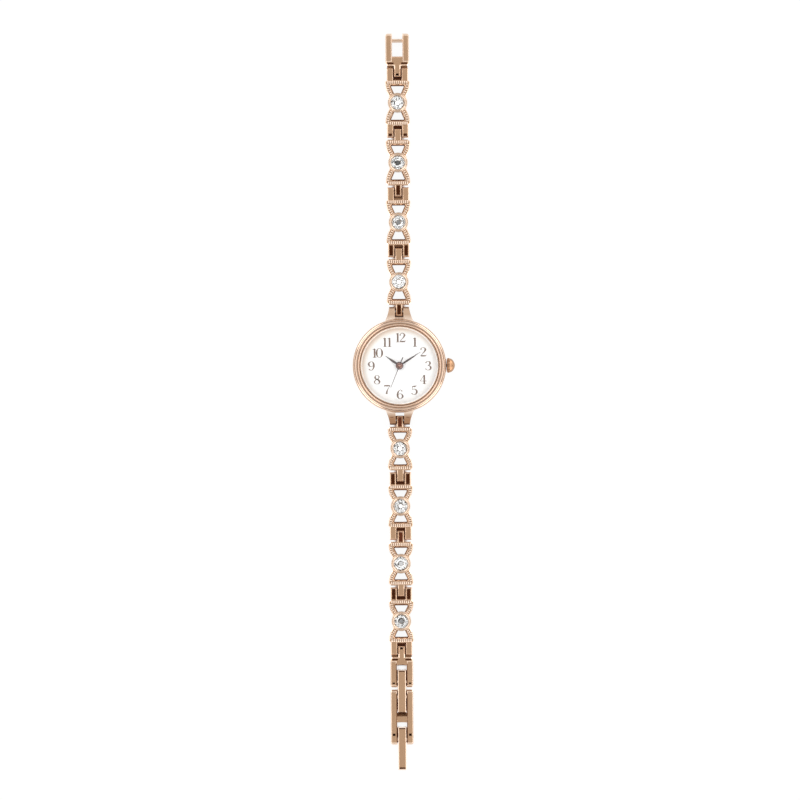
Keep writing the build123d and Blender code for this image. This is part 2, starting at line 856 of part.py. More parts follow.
# Movement, in the order it is put together
save(mainPlate(), "main_plate")
with BuildPart() as train_bridge:
    with BuildSketch(Plane.XY.offset(plate_bottom_height - bridge_thickness)):
        Circle(train_pocket_radius + bridge_land)
    extrude(amount=bridge_thickness)
save(train_bridge.part, "train_bridge")
with BuildPart() as battery:
    with BuildSketch(Plane.XY.offset(battery_bottom)):
        with Locations((battery_x, battery_y)):
            Circle(battery_radius)
    extrude(amount=battery_thickness)
save(battery.part, "battery")
with BuildPart() as battery_strap:
    with BuildSketch(Plane.XY.offset(battery_bottom - strap_thickness)):
        with Locations((battery_x, battery_y)):
            Rectangle(strap_width, 2 * (battery_radius + strap_land), rotation=strap_angle)
    extrude(amount=strap_thickness)
save(battery_strap.part, "battery_strap")
with BuildPart() as coil:
    with BuildSketch(Plane.YZ):
        with Locations((coil_y, coil_middle)):
            Circle(coil_radius)
    extrude(amount=coil_length / 2, both=True)
save(coil.part, "coil")
# the board is a segment of a disc on the plate's back, beside the train bridge
board_radius = plate_radius - board_rim
board_chord = board_radius - board_width
with BuildPart() as circuit_board:
    with BuildSketch(Plane.XY.offset(plate_bottom_height - board_thickness)):
        Circle(board_radius)
        with Locations((board_chord - board_radius, 0)):
            Rectangle(2 * board_radius, 2 * board_radius, mode=Mode.SUBTRACT)
    extrude(amount=board_thickness)
save(circuit_board.part, "circuit_board")

# Crown group
save(crownCap(), "crown")
save(windingStem(), "stem")
save(settingLever(), "setting_lever")

# Bracelet chains, each hung on a spring bar in its lug
spring_bar = crossPin(pin_radius, prong_span - 2 * pin_recess)
stone = brilliantStone()
chains = ((1, "upper", link_length_upper), (-1, "lower", link_length_lower))
clasp_starts = {}
for side, name, link_length in chains:
    starts, pins, clasp_starts[name] = chainPlaces(link_length)
    save(placed(spring_bar, f"{name}_spring_bar", side, case_pin_reach), f"{name}_spring_bar")
    tongue_link = linkFrame(link_length, has_prongs=False)
    prong_link = linkFrame(link_length, has_prongs=True)
    for index, start in enumerate(starts):
        frame = tongue_link if index % 2 == 0 else prong_link
        middle = start + link_length / 2
        link_label = f"{name}_link_{index + 1}"
        save(placed(frame, link_label, side, middle), link_label)
        stone_label = f"{name}_stone_{index + 1}"
        save(placed(stone, stone_label, side, middle), stone_label)
    print(name, "frames start at", [round(start, 3) for start in starts])
    print(name, "pins at", [round(pin, 3) for pin in pins])

# End ring and clasp
ring_start = clasp_starts["upper"]
end_ring = forkPiece(
    ring_length, ring_width, ring_plate_length, ring_slot_width, ring_bar_reach, crossbar_radius
)
save(placed(end_ring, "end_ring", 1, ring_start), "end_ring")

base_start = clasp_starts["lower"]
base_pin_reach = base_start + base_length - lever_pin_margin
clasp_base = forkPiece(
    base_length, base_width, base_plate_length, clasp_slot_width,
    base_length - lever_pin_margin, pin_radius,
)
save(placed(clasp_base, "clasp_base", -1, base_start), "clasp_base")

lever = snapLever()
save(placed(lever, "inner_lever", -1, base_pin_reach), "inner_lever")
bar_reach = base_pin_reach + lever_hook_reach
extension_start = bar_reach - extension_bar_reach
save(placed(extensionLink(), "extension_link", -1, extension_start), "extension_link")
outer_pin_reach = extension_start + extension_pin_reach
save(placed(lever, "outer_lever", -1, outer_pin_reach), "outer_lever")

overall = ring_start + ring_length + outer_pin_reach + lever_tip_reach
print("case pin", case_pin_reach, "ring start", ring_start, "base start", base_start)
print("lever pins", base_pin_reach, outer_pin_reach, "extension bar", bar_reach)
print("overall length", round(overall, 2))
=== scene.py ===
import bpy
import bmesh
import math
from mathutils import Euler, Matrix, Vector


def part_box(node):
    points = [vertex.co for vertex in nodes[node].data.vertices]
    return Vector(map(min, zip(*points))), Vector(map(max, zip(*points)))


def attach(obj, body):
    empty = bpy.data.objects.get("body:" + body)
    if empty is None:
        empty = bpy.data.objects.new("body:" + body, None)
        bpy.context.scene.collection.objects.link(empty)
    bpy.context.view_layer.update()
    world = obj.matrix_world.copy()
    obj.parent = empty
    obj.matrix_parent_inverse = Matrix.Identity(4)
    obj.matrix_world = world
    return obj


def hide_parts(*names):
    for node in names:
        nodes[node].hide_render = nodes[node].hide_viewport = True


# A ladies' bracelet watch lying open on a white table, seen from straight above.
# Sizes in the dictionaries are millimetres unless a note says otherwise.
mm = 0.001
unmoved, flip = Matrix.Identity(4), Matrix.Rotation(math.pi, 4, "Z")

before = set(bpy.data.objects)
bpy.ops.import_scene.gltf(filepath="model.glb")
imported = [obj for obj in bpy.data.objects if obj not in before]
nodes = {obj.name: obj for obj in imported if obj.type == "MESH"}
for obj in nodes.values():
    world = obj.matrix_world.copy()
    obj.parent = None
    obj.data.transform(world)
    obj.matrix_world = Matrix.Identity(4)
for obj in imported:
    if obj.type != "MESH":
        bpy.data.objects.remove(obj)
scene = bpy.context.scene
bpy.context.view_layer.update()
print("frame loaded:", len(nodes), "nodes")


def toLinear(hexColour):
    # sRGB hex to the linear colour the shaders work in
    out = []
    for i in (1, 3, 5):
        c = int(hexColour[i:i + 2], 16) / 255
        out.append(c / 12.92 if c <= 0.04045 else ((c + 0.055) / 1.055) ** 2.4)
    return (*out, 1.0)


def feed(tree, node, inputs):
    # inputs go by name or in socket order: values, hex colours, outputs, or nodes, which give their output in use
    for name, value in inputs.items() if isinstance(inputs, dict) else enumerate(inputs):
        if isinstance(value, bpy.types.Node):
            value = next(output for output in value.outputs if output.enabled)
        if isinstance(value, bpy.types.NodeSocket):
            tree.links.new(value, node.inputs[name])
        else:
            isHex = isinstance(value, str) and value.startswith("#")
            node.inputs[name].default_value = toLinear(value) if isHex else value


def addNode(tree, kind, inputs=None, **settings):
    # one node with its settings and inputs
    node = tree.nodes.new(kind)
    for name, value in settings.items():
        setattr(node, name, value)
    feed(tree, node, inputs or {})
    return node


def setStops(ramp, stops):
    # a colour ramp's stops, each a position and a hex colour or a grey
    elements = ramp.color_ramp.elements
    while len(elements) < len(stops):
        elements.new(0.5)
    for element, (position, colour) in zip(elements, stops):
        element.position = position
        element.color = toLinear(colour) if isinstance(colour, str) else (colour, colour, colour, 1.0)


def addObject(name, data):
    piece = bpy.data.objects.new(name, data)
    scene.collection.objects.link(piece)
    return piece


def newMesh(name, verts, faces, edges=()):
    mesh = bpy.data.meshes.new(name)
    mesh.from_pydata([tuple(c * mm for c in v) for v in verts], edges, faces)
    return mesh


def finishMesh(name, mesh, material, smoothAngle):
    # merges doubles, turns faces outwards, smooths up to the angle and links the piece
    bm = bmesh.new()
    bm.from_mesh(mesh)
    bmesh.ops.remove_doubles(bm, verts=bm.verts, dist=1e-8)
    bmesh.ops.recalc_face_normals(bm, faces=bm.faces)
    bm.to_mesh(mesh)
    bm.free()
    if smoothAngle:
        mesh.shade_smooth()
        mesh.set_sharp_from_angle(angle=math.radians(smoothAngle))
    if not mesh.materials:
        mesh.materials.append(material)
    return addObject(name, mesh)


def meshPiece(name, verts, faces, material, smoothAngle):
    return finishMesh(name, newMesh(name, verts, faces), material, smoothAngle)


def settle(piece, body, replaced=()):
    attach(piece, body)
    if replaced:
        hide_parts(*replaced)


def bulgeLine(start, end, bulge, steps=8):
    # points of a shallow arc from start to end, bulging to the left by the given height
    (x0, y0), (x1, y1) = start, end
    dx, dy = x1 - x0, y1 - y0
    chord = math.hypot(dx, dy)
    points = []
    for i in range(steps + 1):
        t = i / steps
        lift = bulge * 4 * t * (1 - t)
        points.append((x0 + dx * t - dy / chord * lift, y0 + dy * t + dx / chord * lift))
    return points


def turned(profile, segments, closed):
    # a turned part: radius and height pairs swept round Z
    verts, rings, faces = [], [], []
    for radius, height in profile:
        if radius < 1e-6:
            rings.append([len(verts)] * segments)
            verts.append((0.0, 0.0, height))
        else:
            rings.append(list(range(len(verts), len(verts) + segments)))
            for i in range(segments):
                a = 2 * math.pi * i / segments
                verts.append((radius * math.cos(a), radius * math.sin(a), height))
    for k in range(len(profile) if closed else len(profile) - 1):
        lower, upper = rings[k], rings[(k + 1) % len(profile)]
        for i in range(segments):
            j = (i + 1) % segments
            face = list(dict.fromkeys((lower[i], lower[j], upper[j], upper[i])))
            if len(face) > 2:
                faces.append(face)
    return verts, faces


def joined(first, rings, count):
    # faces between closed rings of points, with both ends capped
    last = first + (rings - 1) * count
    faces = [tuple(range(first, first + count)), tuple(range(last, last + count))]
    for start in range(first, last, count):
        for k in range(count):
            a, b = start + k, start + (k + 1) % count
            faces.append((a, b, b + count, a + count))
    return faces


def moved(verts, matrix):
    return [tuple(matrix @ Vector(v)) for v in verts]


def ringPiece(name, profile, segments, material, smoothAngle=50, place=unmoved):
    # a turned ring with a closed profile
    verts, faces = turned(profile, segments, True)
    return meshPiece(name, moved(verts, place), faces, material, smoothAngle)


def newFinish(name):
    material = bpy.data.materials.new(name)
    material.use_nodes = True
    tree = material.node_tree
    return material, tree, tree.nodes["Principled BSDF"], addNode(tree, "ShaderNodeTexCoord").outputs["Object"]


def metalFinish(name, colour, shade, roughness, grain, bump, stretch=(1, 1, 1), flats=None, bevels=None, edge=0.0):
    # a plated or plain metal: colour drifts slightly between two tones, the roughness follows the grain
    material, tree, bsdf, place = newFinish(name)
    mapping = addNode(tree, "ShaderNodeMapping", {"Vector": place, "Scale": stretch})
    drift = addNode(tree, "ShaderNodeTexNoise", {"Vector": place, "Scale": 90.0, "Detail": 2.0})
    tone = addNode(tree, "ShaderNodeMix", {"Factor": drift, 6: colour, 7: shade}, data_type="RGBA")
    fine = addNode(tree, "ShaderNodeTexNoise", {"Vector": mapping, "Scale": grain, "Detail": 4.0, "Roughness": 0.6})
    rough = addNode(tree, "ShaderNodeMapRange", (fine, 0.3, 0.7, *roughness))
    if flats:
        # flats are satin-brushed, bevels and curves are polished
        facing = addNode(tree, "ShaderNodeSeparateXYZ", {
            "Vector": addNode(tree, "ShaderNodeNewGeometry").outputs["True Normal"]})
        steep = addNode(tree, "ShaderNodeMath", (facing.outputs["Z"],), operation="ABSOLUTE")
        isFlat = addNode(tree, "ShaderNodeMapRange", (steep, 0.97, 0.995))
        satin = addNode(tree, "ShaderNodeMapRange", (fine, 0.3, 0.7, *flats))
        rough = addNode(tree, "ShaderNodeMix", {"Factor": isFlat, 2: rough, 3: satin})
        # painted highlight: the polished edges get a paler colour than the flats, so their reflections look cream
        tone = addNode(tree, "ShaderNodeMix", {"Factor": isFlat, 6: bevels, 7: tone}, data_type="RGBA")
    relief = addNode(tree, "ShaderNodeBump", {"Height": fine, "Strength": bump, "Distance": 0.00002})
    if edge:
        # edges catch the light as if broken by hand
        broken = addNode(tree, "ShaderNodeBevel", {"Radius": edge * mm}, samples=4)
        feed(tree, relief, {"Normal": broken})
    feed(tree, bsdf, {"Base Color": tone, "Roughness": rough, "Normal": relief, "Metallic": 1.0})
    return material


# Rose gold PVD over polished steel: mirror-like, warm pink highlights, brown where it sees the dark
roseGoldPolished = metalFinish("rose gold plating, polished", "#efd1bb", "#e8c8b0", (0.05, 0.1), 900.0, 0.003)
# The same plating on links and clasp: flats brushed along the bracelet, 0.05 mm scratches drawn 0.15 mm
roseGoldBrushed = metalFinish(
    "rose gold plating, brushed flats", "#ecc29d", "#e3b58e", (0.06, 0.12), 700.0, 0.015, (9, 0.6, 9),
    flats=(0.2, 0.3), bevels="#f0d6c0", edge=0.12)
# Polished rims and beads, a paler pink than the bezel
roseGoldPale = metalFinish("rose gold plating, pale polished rims", "#efd8c4", "#e6cab2", (0.05, 0.1), 900.0, 0.003)
milgrainGold = metalFinish("rose gold milgrain, polished beads", "#f8e2cf", "#ecd0b8", (0.07, 0.14), 900.0, 0.003)
# The lugs are hand-brushed all over and have no polished faces
roseGoldSatin = metalFinish(
    "rose gold plating, satin lugs", "#d2b59b", "#c5a58b", (0.34, 0.44), 700.0, 0.02, (9, 0.6, 9), edge=0.16)
# Bottoms of the recessed panels, painted dark brown shade; the slits, slot fills and lever ends take it too
roseGoldPaintedShade = metalFinish("rose gold recess, painted dark shade", "#6b3a22", "#4d2714", (0.18, 0.3), 600.0, 0.05)
# Reddish brown painted shade in the tongues' panels of the lower links
roseGoldReddishShade = metalFinish("rose gold recess, painted reddish shade", "#8f5036", "#6f3a26", (0.2, 0.32), 600.0, 0.05)
# Blind holes, corners and gaps, painted black-brown shadow
paintedHoleShadow = metalFinish(
    "rose gold blind hole, painted black-brown shadow", "#2c120a", "#1d0b06", (0.3, 0.45), 600.0, 0.02)


def axesOf(tree, space="Object"):
    # the outputs X, Y and Z of a place or a direction
    place = addNode(tree, "ShaderNodeTexCoord").outputs[space]
    return addNode(tree, "ShaderNodeSeparateXYZ", {"Vector": place}).outputs


def paintOver(material, share, hexColour):
    # covers this share of the finish with another colour
    tree = material.node_tree
    bsdf = tree.nodes["Principled BSDF"]
    under = bsdf.inputs["Base Color"].links[0].from_socket
    mix = addNode(tree, "ShaderNodeMix", {"Factor": share, 6: under, 7: hexColour}, data_type="RGBA")
    feed(tree, bsdf, {"Base Color": mix})


def darkenBy(material, axis, dark, light, hexColour, side="ABSOLUTE"):
    # along one axis: all of the colour at the dark place, none at the light one;
    # side MINIMUM keeps the sign, for places below zero
    tree = material.node_tree
    place = addNode(tree, "ShaderNodeMath", (axesOf(tree)[axis], 0.0), operation=side)
    paintOver(material, addNode(tree, "ShaderNodeMapRange", (place, dark * mm, light * mm, 1.0, 0.0)), hexColour)


def darkenSlots(material, halfWide, farthest, low, high, hexColour):
    # painted shade: the colour turns dark brown deep in the hinge slots, round the pins
    tree = material.node_tree
    axes = axesOf(tree)
    across, reach = (addNode(tree, "ShaderNodeMath", (axes[axis],), operation="ABSOLUTE") for axis in "XY")
    share = addNode(tree, "ShaderNodeMath", (reach, farthest * mm), operation="LESS_THAN")
    # each limit is full at the first place and gone at the second
    for value, full, gone in ((across, halfWide, halfWide + 0.05), (axes["Z"], high - 0.1, high),
                              (axes["Z"], low + 0.1, low)):
        limit = addNode(tree, "ShaderNodeMapRange", (value, full * mm, gone * mm, 1.0, 0.0))
        share = addNode(tree, "ShaderNodeMath", (share, limit), operation="MULTIPLY")
    paintOver(material, share, hexColour)


# painted shade darkens the milgrain between the beads; a painted highlight makes the lugs paler where they meet the
# case, and painted shade darkens the lower lug away from the case
darkenBy(milgrainGold, "Z", 1.65, 1.75, "#522c1a")
darkenBy(roseGoldSatin, "Y", 11.4, 12.8, "#fbe6d4")
darkenBy(roseGoldSatin, "Y", -13.3, -11.6, "#a67e60", "MINIMUM")
# painted shade in the hinge slots of the brushed links and clasp
darkenSlots(roseGoldBrushed, 1.12, 78.0, 0.2, 1.3, "#4a2413")
# The crown is tumbled rather than polished, so its dome shows no sharp rings
roseGoldTumbled = metalFinish("rose gold plating, tumbled crown", "#c79d7c", "#b78a66", (0.22, 0.32), 900.0, 0.01)
# Brushed stainless steel of the case back, grain of about 0.1 mm in one direction
steelBrushed = metalFinish("stainless steel, brushed", "#c9c6c2", "#b9b6b2", (0.25, 0.4), 500.0, 0.15, (14, 0.7, 1))
steelTurned = metalFinish("steel, fine turned", "#c4c1bd", "#adaaa6", (0.15, 0.28), 1500.0, 0.05, (1, 8, 8))
brassPlate = metalFinish("brass, fine blasted", "#d9b878", "#cda765", (0.3, 0.42), 2500.0, 0.12)
# Enamelled copper wire, 0.02 mm wire drawn as 0.15 mm turns across the coil
copperWire = metalFinish("copper wire, lacquered", "#d98a5c", "#9c552f", (0.2, 0.35), 260.0, 0.5, (24, 0.1, 0.1))
nickelCell = metalFinish("nickel plated cell", "#d2d0cc", "#c6c3be", (0.16, 0.26), 1200.0, 0.05)


def paintFinish(name, colour, shade, roughness, grain, bump, metallic=0.0):
    material, tree, bsdf, place = newFinish(name)
    fine = addNode(tree, "ShaderNodeTexNoise", {"Vector": place, "Scale": grain, "Detail": 3.0})
    tone = addNode(tree, "ShaderNodeMix", {"Factor": fine, 6: colour, 7: shade}, data_type="RGBA")
    rough = addNode(tree, "ShaderNodeMapRange", (fine, 0.0, 1.0, roughness - 0.06, roughness + 0.06))
    relief = addNode(tree, "ShaderNodeBump", {"Height": fine, "Strength": bump, "Distance": 0.00001})
    feed(tree, bsdf, {"Base Color": tone, "Roughness": rough, "Normal": relief, "Metallic": metallic})
    return material


# Painted shade for corners, hollows, grooves and gaps, in brown and in tan
paintedShadeBrown = paintFinish("rose gold web, painted brown shade", "#7d5233", "#6b4328", 0.5, 900.0, 0.1, 0.5)
paintedShadeTan = paintFinish("window lip, painted tan shade", "#a57c5a", "#926a4a", 0.45, 900.0, 0.1, 0.5)
# painted shade: a tan ring where the crystal sits
seatShadeTan = paintFinish("crystal seat, painted tan shade", "#c4a68d", "#b8987e", 0.5, 900.0, 0.1)
# Printed numerals: grey-brown pad-printing ink, slightly raised and silky
numeralInk = paintFinish("numeral ink, grey brown", "#7a6152", "#6d5547", 0.45, 4000.0, 0.1)
# Hands in dark brown galvanised brass with a soft sheen
handLacquer = paintFinish("hand lacquer, dark brown", "#5a4d49", "#4a3f40", 0.34, 3000.0, 0.08, 0.35)
hubRose = paintFinish("hub plating, dusky rose", "#c79a90", "#b98579", 0.3, 3000.0, 0.05, 0.7)
boardResin = paintFinish("circuit board, green resist", "#1f5a3c", "#2c7048", 0.35, 900.0, 0.3)


def dialFinish():
    # Pearl lacquer on a brass dial: near white in the middle; painted shade warms and darkens it towards the rim,
    # centred a little off the axis
    material, tree, bsdf, place = newFinish("dial lacquer, pearl white")
    x, y, z = axesOf(tree)
    flat = addNode(tree, "ShaderNodeCombineXYZ", {"X": x, "Y": y})
    offCentre = addNode(tree, "ShaderNodeVectorMath", (flat, (0.0005, -0.0007, 0.0)), operation="DISTANCE")
    share = addNode(tree, "ShaderNodeMath", (offCentre, 100.0), operation="MULTIPLY")
    ramp = addNode(tree, "ShaderNodeValToRGB", {"Fac": share})
    setStops(ramp, ((0.0, "#ffffff"), (0.86, "#fffffd"), (0.92, "#fff9f0"), (0.96, "#fbecdd"), (1.0, "#f1dcc9")))
    pearl = addNode(tree, "ShaderNodeTexNoise", {"Vector": place, "Scale": 2600.0, "Detail": 3.0})
    mist = addNode(tree, "ShaderNodeMath", (pearl, 0.06), operation="MULTIPLY")
    tint = addNode(tree, "ShaderNodeMix", {"Factor": mist, 6: ramp, 7: "#f6ece2"}, data_type="RGBA")
    rough = addNode(tree, "ShaderNodeMapRange", (pearl, 0.0, 1.0, 0.3, 0.42))
    feed(tree, bsdf, {"Base Color": tint, "Roughness": rough})
    return material


def letLightPast(material, share):
    # lets this share of the shadow and diffuse rays through, so what lies behind is darkened less
    tree = material.node_tree
    output = tree.nodes["Material Output"]
    path = addNode(tree, "ShaderNodeLightPath")
    passing = addNode(tree, "ShaderNodeMath", (
        path.outputs["Is Shadow Ray"], path.outputs["Is Diffuse Ray"]), operation="MAXIMUM")
    part = addNode(tree, "ShaderNodeMath", (passing, share), operation="MULTIPLY")
    solid, clear = output.inputs["Surface"].links[0].from_socket, addNode(tree, "ShaderNodeBsdfTransparent")
    feed(tree, output, {"Surface": addNode(tree, "ShaderNodeMixShader", (part, solid, clear))})


letLightPast(handLacquer, 0.6)


def glassFinish(name, tint, roughness, ior):
    material, tree, bsdf, place = newFinish(name)
    haze = addNode(tree, "ShaderNodeTexNoise", {"Vector": place, "Scale": 300.0, "Detail": 2.0})
    rough = addNode(tree, "ShaderNodeMapRange", (haze, 0.0, 1.0, 0.0, roughness))
    feed(tree, bsdf, {"Base Color": tint, "Roughness": rough, "Transmission Weight": 1.0, "IOR": ior})
    letLightPast(material, 1.0)
    return material


dialPearl = dialFinish()
crystalGlass = glassFinish("mineral glass, polished", "#ffffff", 0.01, 1.45)
# Lead crystal with flat polished facets
stoneGlass = glassFinish("lead crystal, faceted", "#ffffff", 0.005, 1.58)
# Silver foiling on the back facets of the stones
stoneFoil = metalFinish("silver foil, stone backs", "#f4f4f2", "#e4e5e6", (0.02, 0.06), 800.0, 0.0)
print("finishes made")

finishOf = {name: finish for finish, names in (
    (roseGoldSatin, "case_body"), (crystalGlass, "crystal"), (nickelCell, "battery"), (copperWire, "coil"),
    (boardResin, "circuit_board"), (steelBrushed, "case_back battery_strap"),
    (brassPlate, "main_plate train_bridge hour_wheel cannon_pinion seconds_wheel"),
    (steelTurned, "stem setting_lever upper_spring_bar lower_spring_bar")) for name in names.split()}
for name, node in nodes.items():
    node.data.materials.clear()
    node.data.materials.append(finishOf.get(name, roseGoldBrushed))
print("CAD nodes finished")

# Head: profiles are radius and height pairs; a ring of the bezel is its start, its end and its bulge
headSizes = {
    "segments": 256, "shelf": [(9.4, 4.7), (9.4, 5.35), (9.6, 5.35), (9.6, 5.5)],
    "rings": (((9.72, 5.5), (10.0, 5.69), 0.0), ((10.01, 5.7), (10.38, 5.63), 0.11),
              ((10.54, 5.6), (11.06, 5.4), 0.12), ((11.13, 5.33), (11.39, 5.12), 0.012)),
    "grooves": ([], [(10.41, 5.38), (10.51, 5.38)], [(11.08, 5.24), (11.11, 5.24)], [(11.4, 4.72)]),
    "seat": [(9.61, 5.4), (9.76, 5.4), (9.76, 5.56), (9.61, 5.53)],
    "grooveFloor": [(10.37, 5.4), (10.55, 5.4), (10.55, 5.5), (10.37, 5.5)],
    "joint": [(11.36, 4.6), (11.54, 4.6), (11.54, 4.66), (11.5, 4.73), (11.36, 4.73)],
    "barrelFoot": (10.6, 0.62), "barrelTop": (10.6, 4.69),
    "barrelBows": (((10.9, 0.6), (11.7, 2.75), -0.12, 10), ((11.7, 2.75), (11.46, 4.7), -0.05, 8))}
outline = list(headSizes["shelf"])
for (start, end, bulge), groove in zip(headSizes["rings"], headSizes["grooves"]):
    outline += bulgeLine(start, end, bulge, 12) + groove
settle(ringPiece("bezelRings", outline, headSizes["segments"], roseGoldPolished), "case", replaced=("bezel",))
# painted shade rings: the tan crystal seat, the floor of the bezel's groove, and the joint, the fine shadow line where
# the bezel meets the barrel
for name, part, segments, finish in (
        ("crystalSeat", "seat", 128, seatShadeTan), ("bezelGroove", "grooveFloor", 128, paintedShadeTan),
        ("bezelJoint", "joint", headSizes["segments"], paintedShadeTan)):
    settle(ringPiece(name, headSizes[part], segments, finish), "case")
foot, shoulder = (bulgeLine(*bow) for bow in headSizes["barrelBows"])
settle(ringPiece("caseBarrel", [headSizes["barrelFoot"]] + foot + shoulder[1:] + [headSizes["barrelTop"]],
                 headSizes["segments"], roseGoldPolished), "case")

dialSizes = {"top": 4.2, "outline": [(0.75, 3.9), (9.85, 3.9), (9.85, 4.15), (9.8, 4.2), (0.75, 4.2)]}
settle(ringPiece("dialDisc", dialSizes["outline"], 192, dialPearl, 30), "case", ("dial",))

# Numerals: each stroke is a list of x, y and stroke width, in thousandths of the numeral's height
numeralSizes = {"height": 2.3, "widthShare": 1.22, "relief": 0.03, "boldness": 1.15, "spacing": 0.98, "thinnest": 0.02,
                "sunk": 0.01, "bearing": 0.01, "steps": 6}
digitStrokes = {
    "1": [[(300, 30, 125), (300, 970, 125)], [(120, 15, 35), (480, 15, 35)], [(310, 970, 30), (220, 900, 45),
          (130, 880, 30)]],
    "2": [[(100, 720, 100), (110, 840, 70), (220, 960, 45), (360, 960, 60), (490, 800, 120), (450, 620, 110),
          (280, 360, 50), (80, 120, 35)], [(70, 70, 100), (300, 70, 130), (530, 70, 100)], [(530, 80, 35),
          (570, 220, 30)]],
    "3": [[(90, 780, 100), (140, 910, 60), (280, 980, 40), (430, 900, 90), (470, 750, 125), (400, 600, 70),
          (260, 540, 30)], [(260, 540, 30), (440, 470, 80), (530, 280, 135), (460, 90, 90), (290, 20, 40),
          (140, 60, 50), (80, 190, 110)]],
    "4": [[(420, 30, 120), (420, 970, 120)], [(400, 960, 30), (50, 330, 30)], [(30, 320, 40), (640, 320, 40)],
          [(260, 15, 35), (580, 15, 35)]],
    "5": [[(140, 900, 90), (320, 900, 120), (500, 960, 50)], [(150, 940, 35), (120, 520, 30)], [(120, 500, 30),
          (280, 610, 40), (450, 530, 90), (530, 320, 135), (450, 100, 90), (280, 20, 40), (130, 60, 50),
          (80, 180, 110)]],
    "6": [[(500, 830, 100), (420, 950, 50), (300, 970, 40), (150, 780, 90), (90, 480, 135), (120, 200, 120),
          (240, 40, 50), (360, 30, 45), (510, 160, 100), (540, 310, 130), (470, 500, 80), (330, 570, 40),
          (190, 500, 35), (110, 380, 30)]],
    "7": [[(50, 930, 90), (300, 930, 130), (570, 930, 90)], [(55, 930, 30), (50, 760, 30)], [(570, 900, 30),
          (400, 600, 50), (290, 280, 110), (270, 30, 140)]],
    "8": [[(310, 530, 100), (160, 640, 120), (130, 790, 100), (200, 940, 50), (310, 975, 35), (430, 930, 50),
          (480, 790, 90), (440, 640, 60), (310, 530, 100)], [(310, 530, 100), (470, 410, 130), (530, 250, 120),
          (460, 80, 70), (310, 20, 40), (150, 80, 50), (80, 240, 90), (150, 420, 60), (310, 530, 100)]],
    "0": [[(310, 980, 35), (450, 920, 60), (540, 700, 120), (555, 500, 140), (540, 300, 120), (450, 80, 60),
          (310, 20, 35), (170, 80, 60), (80, 300, 120), (65, 500, 140), (80, 700, 120), (170, 920, 60),
          (310, 980, 35)]],
}
digitStrokes["9"] = [[(620 - x, 1000 - y, w) for x, y, w in stroke] for stroke in digitStrokes["6"]]
digitWidths = {"1": 0.42, "2": 0.6, "3": 0.6, "4": 0.66, "5": 0.6, "6": 0.62, "7": 0.6, "8": 0.62, "9": 0.62, "0": 0.7}
# where each hour's numeral is centred, in millimetres from the hands' axis
numeralPlaces = {
    "12": (0.2, 7.0), "1": (3.65, 5.85), "2": (5.95, 3.4), "3": (7.15, -0.05), "4": (5.9, -3.45), "5": (3.65, -6.1),
    "6": (0.1, -7.15), "7": (-3.15, -5.95), "8": (-5.6, -3.45), "9": (-7.0, -0.05), "10": (-5.45, 3.2),
    "11": (-3.25, 5.85)}


def smoothStroke(points):
    # Catmull-Rom through x, y and width; a stroke that ends where it starts is a ring
    p, steps = [Vector(point) / 1000 for point in points], numeralSizes["steps"]
    if len(p) == 2:
        return p, False
    closed = points[0] == points[-1]
    p = [p[-2] if closed else 2 * p[0] - p[1]] + p + [p[1] if closed else 2 * p[-1] - p[-2]]
    out = []
    for a, b, c, d in zip(p, p[1:], p[2:], p[3:]):
        for t in (k / steps for k in range(steps)):
            out.append(0.5 * ((2 * b) + (c - a) * t + (2 * a - 5 * b + 4 * c - d) * t * t
                              + (3 * b - a - 3 * c + d) * t * t * t))
    return out if closed else out + [p[-2]], closed


def strokeSolid(points, left, middle, verts, faces):
    # a raised ribbon of varying width along the stroke
    s = numeralSizes
    line, closed = smoothStroke(points)
    n, start, base = len(line), len(verts), dialSizes["top"] - s["sunk"]
    for i, q in enumerate(line):
        before = line[i - 1] if i or closed else q
        after = line[(i + 1) % n] if i < n - 1 or closed else q
        along = (after - before).xy.normalized()
        aside = Vector((-along.y, along.x)) * max(q.z, s["thinnest"]) / 2 * s["boldness"]
        for edge in (q.xy + aside, q.xy - aside):
            x = left + (edge.x - s["bearing"]) * s["height"] * s["widthShare"]
            y = middle + (edge.y - 0.5) * s["height"]
            verts += [(x, y, base), (x, y, base + s["relief"])]
    for i in range(n if closed else n - 1):
        a, b = start + 4 * i, start + 4 * ((i + 1) % n)
        faces.extend(((a + 3, b + 3, b + 1, a + 1), (b, b + 2, a + 2, a),
                      (a + 1, b + 1, b, a), (b + 2, b + 3, a + 3, a + 2)))
    if not closed:
        e = start + 4 * (n - 1)
        faces.extend(((start + 2, start + 3, start + 1, start), (e + 1, e + 3, e + 2, e)))


verts, faces = [], []
fullWidth = numeralSizes["height"] * numeralSizes["widthShare"] * numeralSizes["spacing"]
for hour, (middleX, middleY) in numeralPlaces.items():
    advance = [digitWidths[digit] * fullWidth for digit in hour]
    left = middleX - sum(advance) / 2
    for digit, step in zip(hour, advance):
        for stroke in digitStrokes[digit]:
            strokeSolid(stroke, left, middleY, verts, faces)
        left += step
numerals = newMesh("dialNumerals", verts, faces)
numerals.materials.append(numeralInk)
settle(addObject("dialNumerals", numerals), "case")
print("dial and numerals made")

# Hands: leaf shaped with a raised ridge, at the angles of the CAD hands
handSizes = {
    "hour": {"length": 4.3, "belly": 0.6, "neck": 0.24, "tip": 0.08, "bellyShare": 0.46, "hub": 0.8, "hole": 0.6,
             "angle": 304.78},
    "minute": {"length": 6.3, "belly": 0.5, "neck": 0.24, "tip": 0.07, "bellyShare": 0.4, "hub": 0.95, "hole": 0.36,
               "angle": 57.37}}
leafSizes = {"steps": 20, "swell": 1.3, "thin": 1.15, "edge": 0.05, "chamfer": 0.04, "rim": (0.05, 0.16, 0.2)}


def handSpan(body):
    # the CAD hand's lowest and highest point
    low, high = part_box(body)
    return low.z / mm, high.z / mm


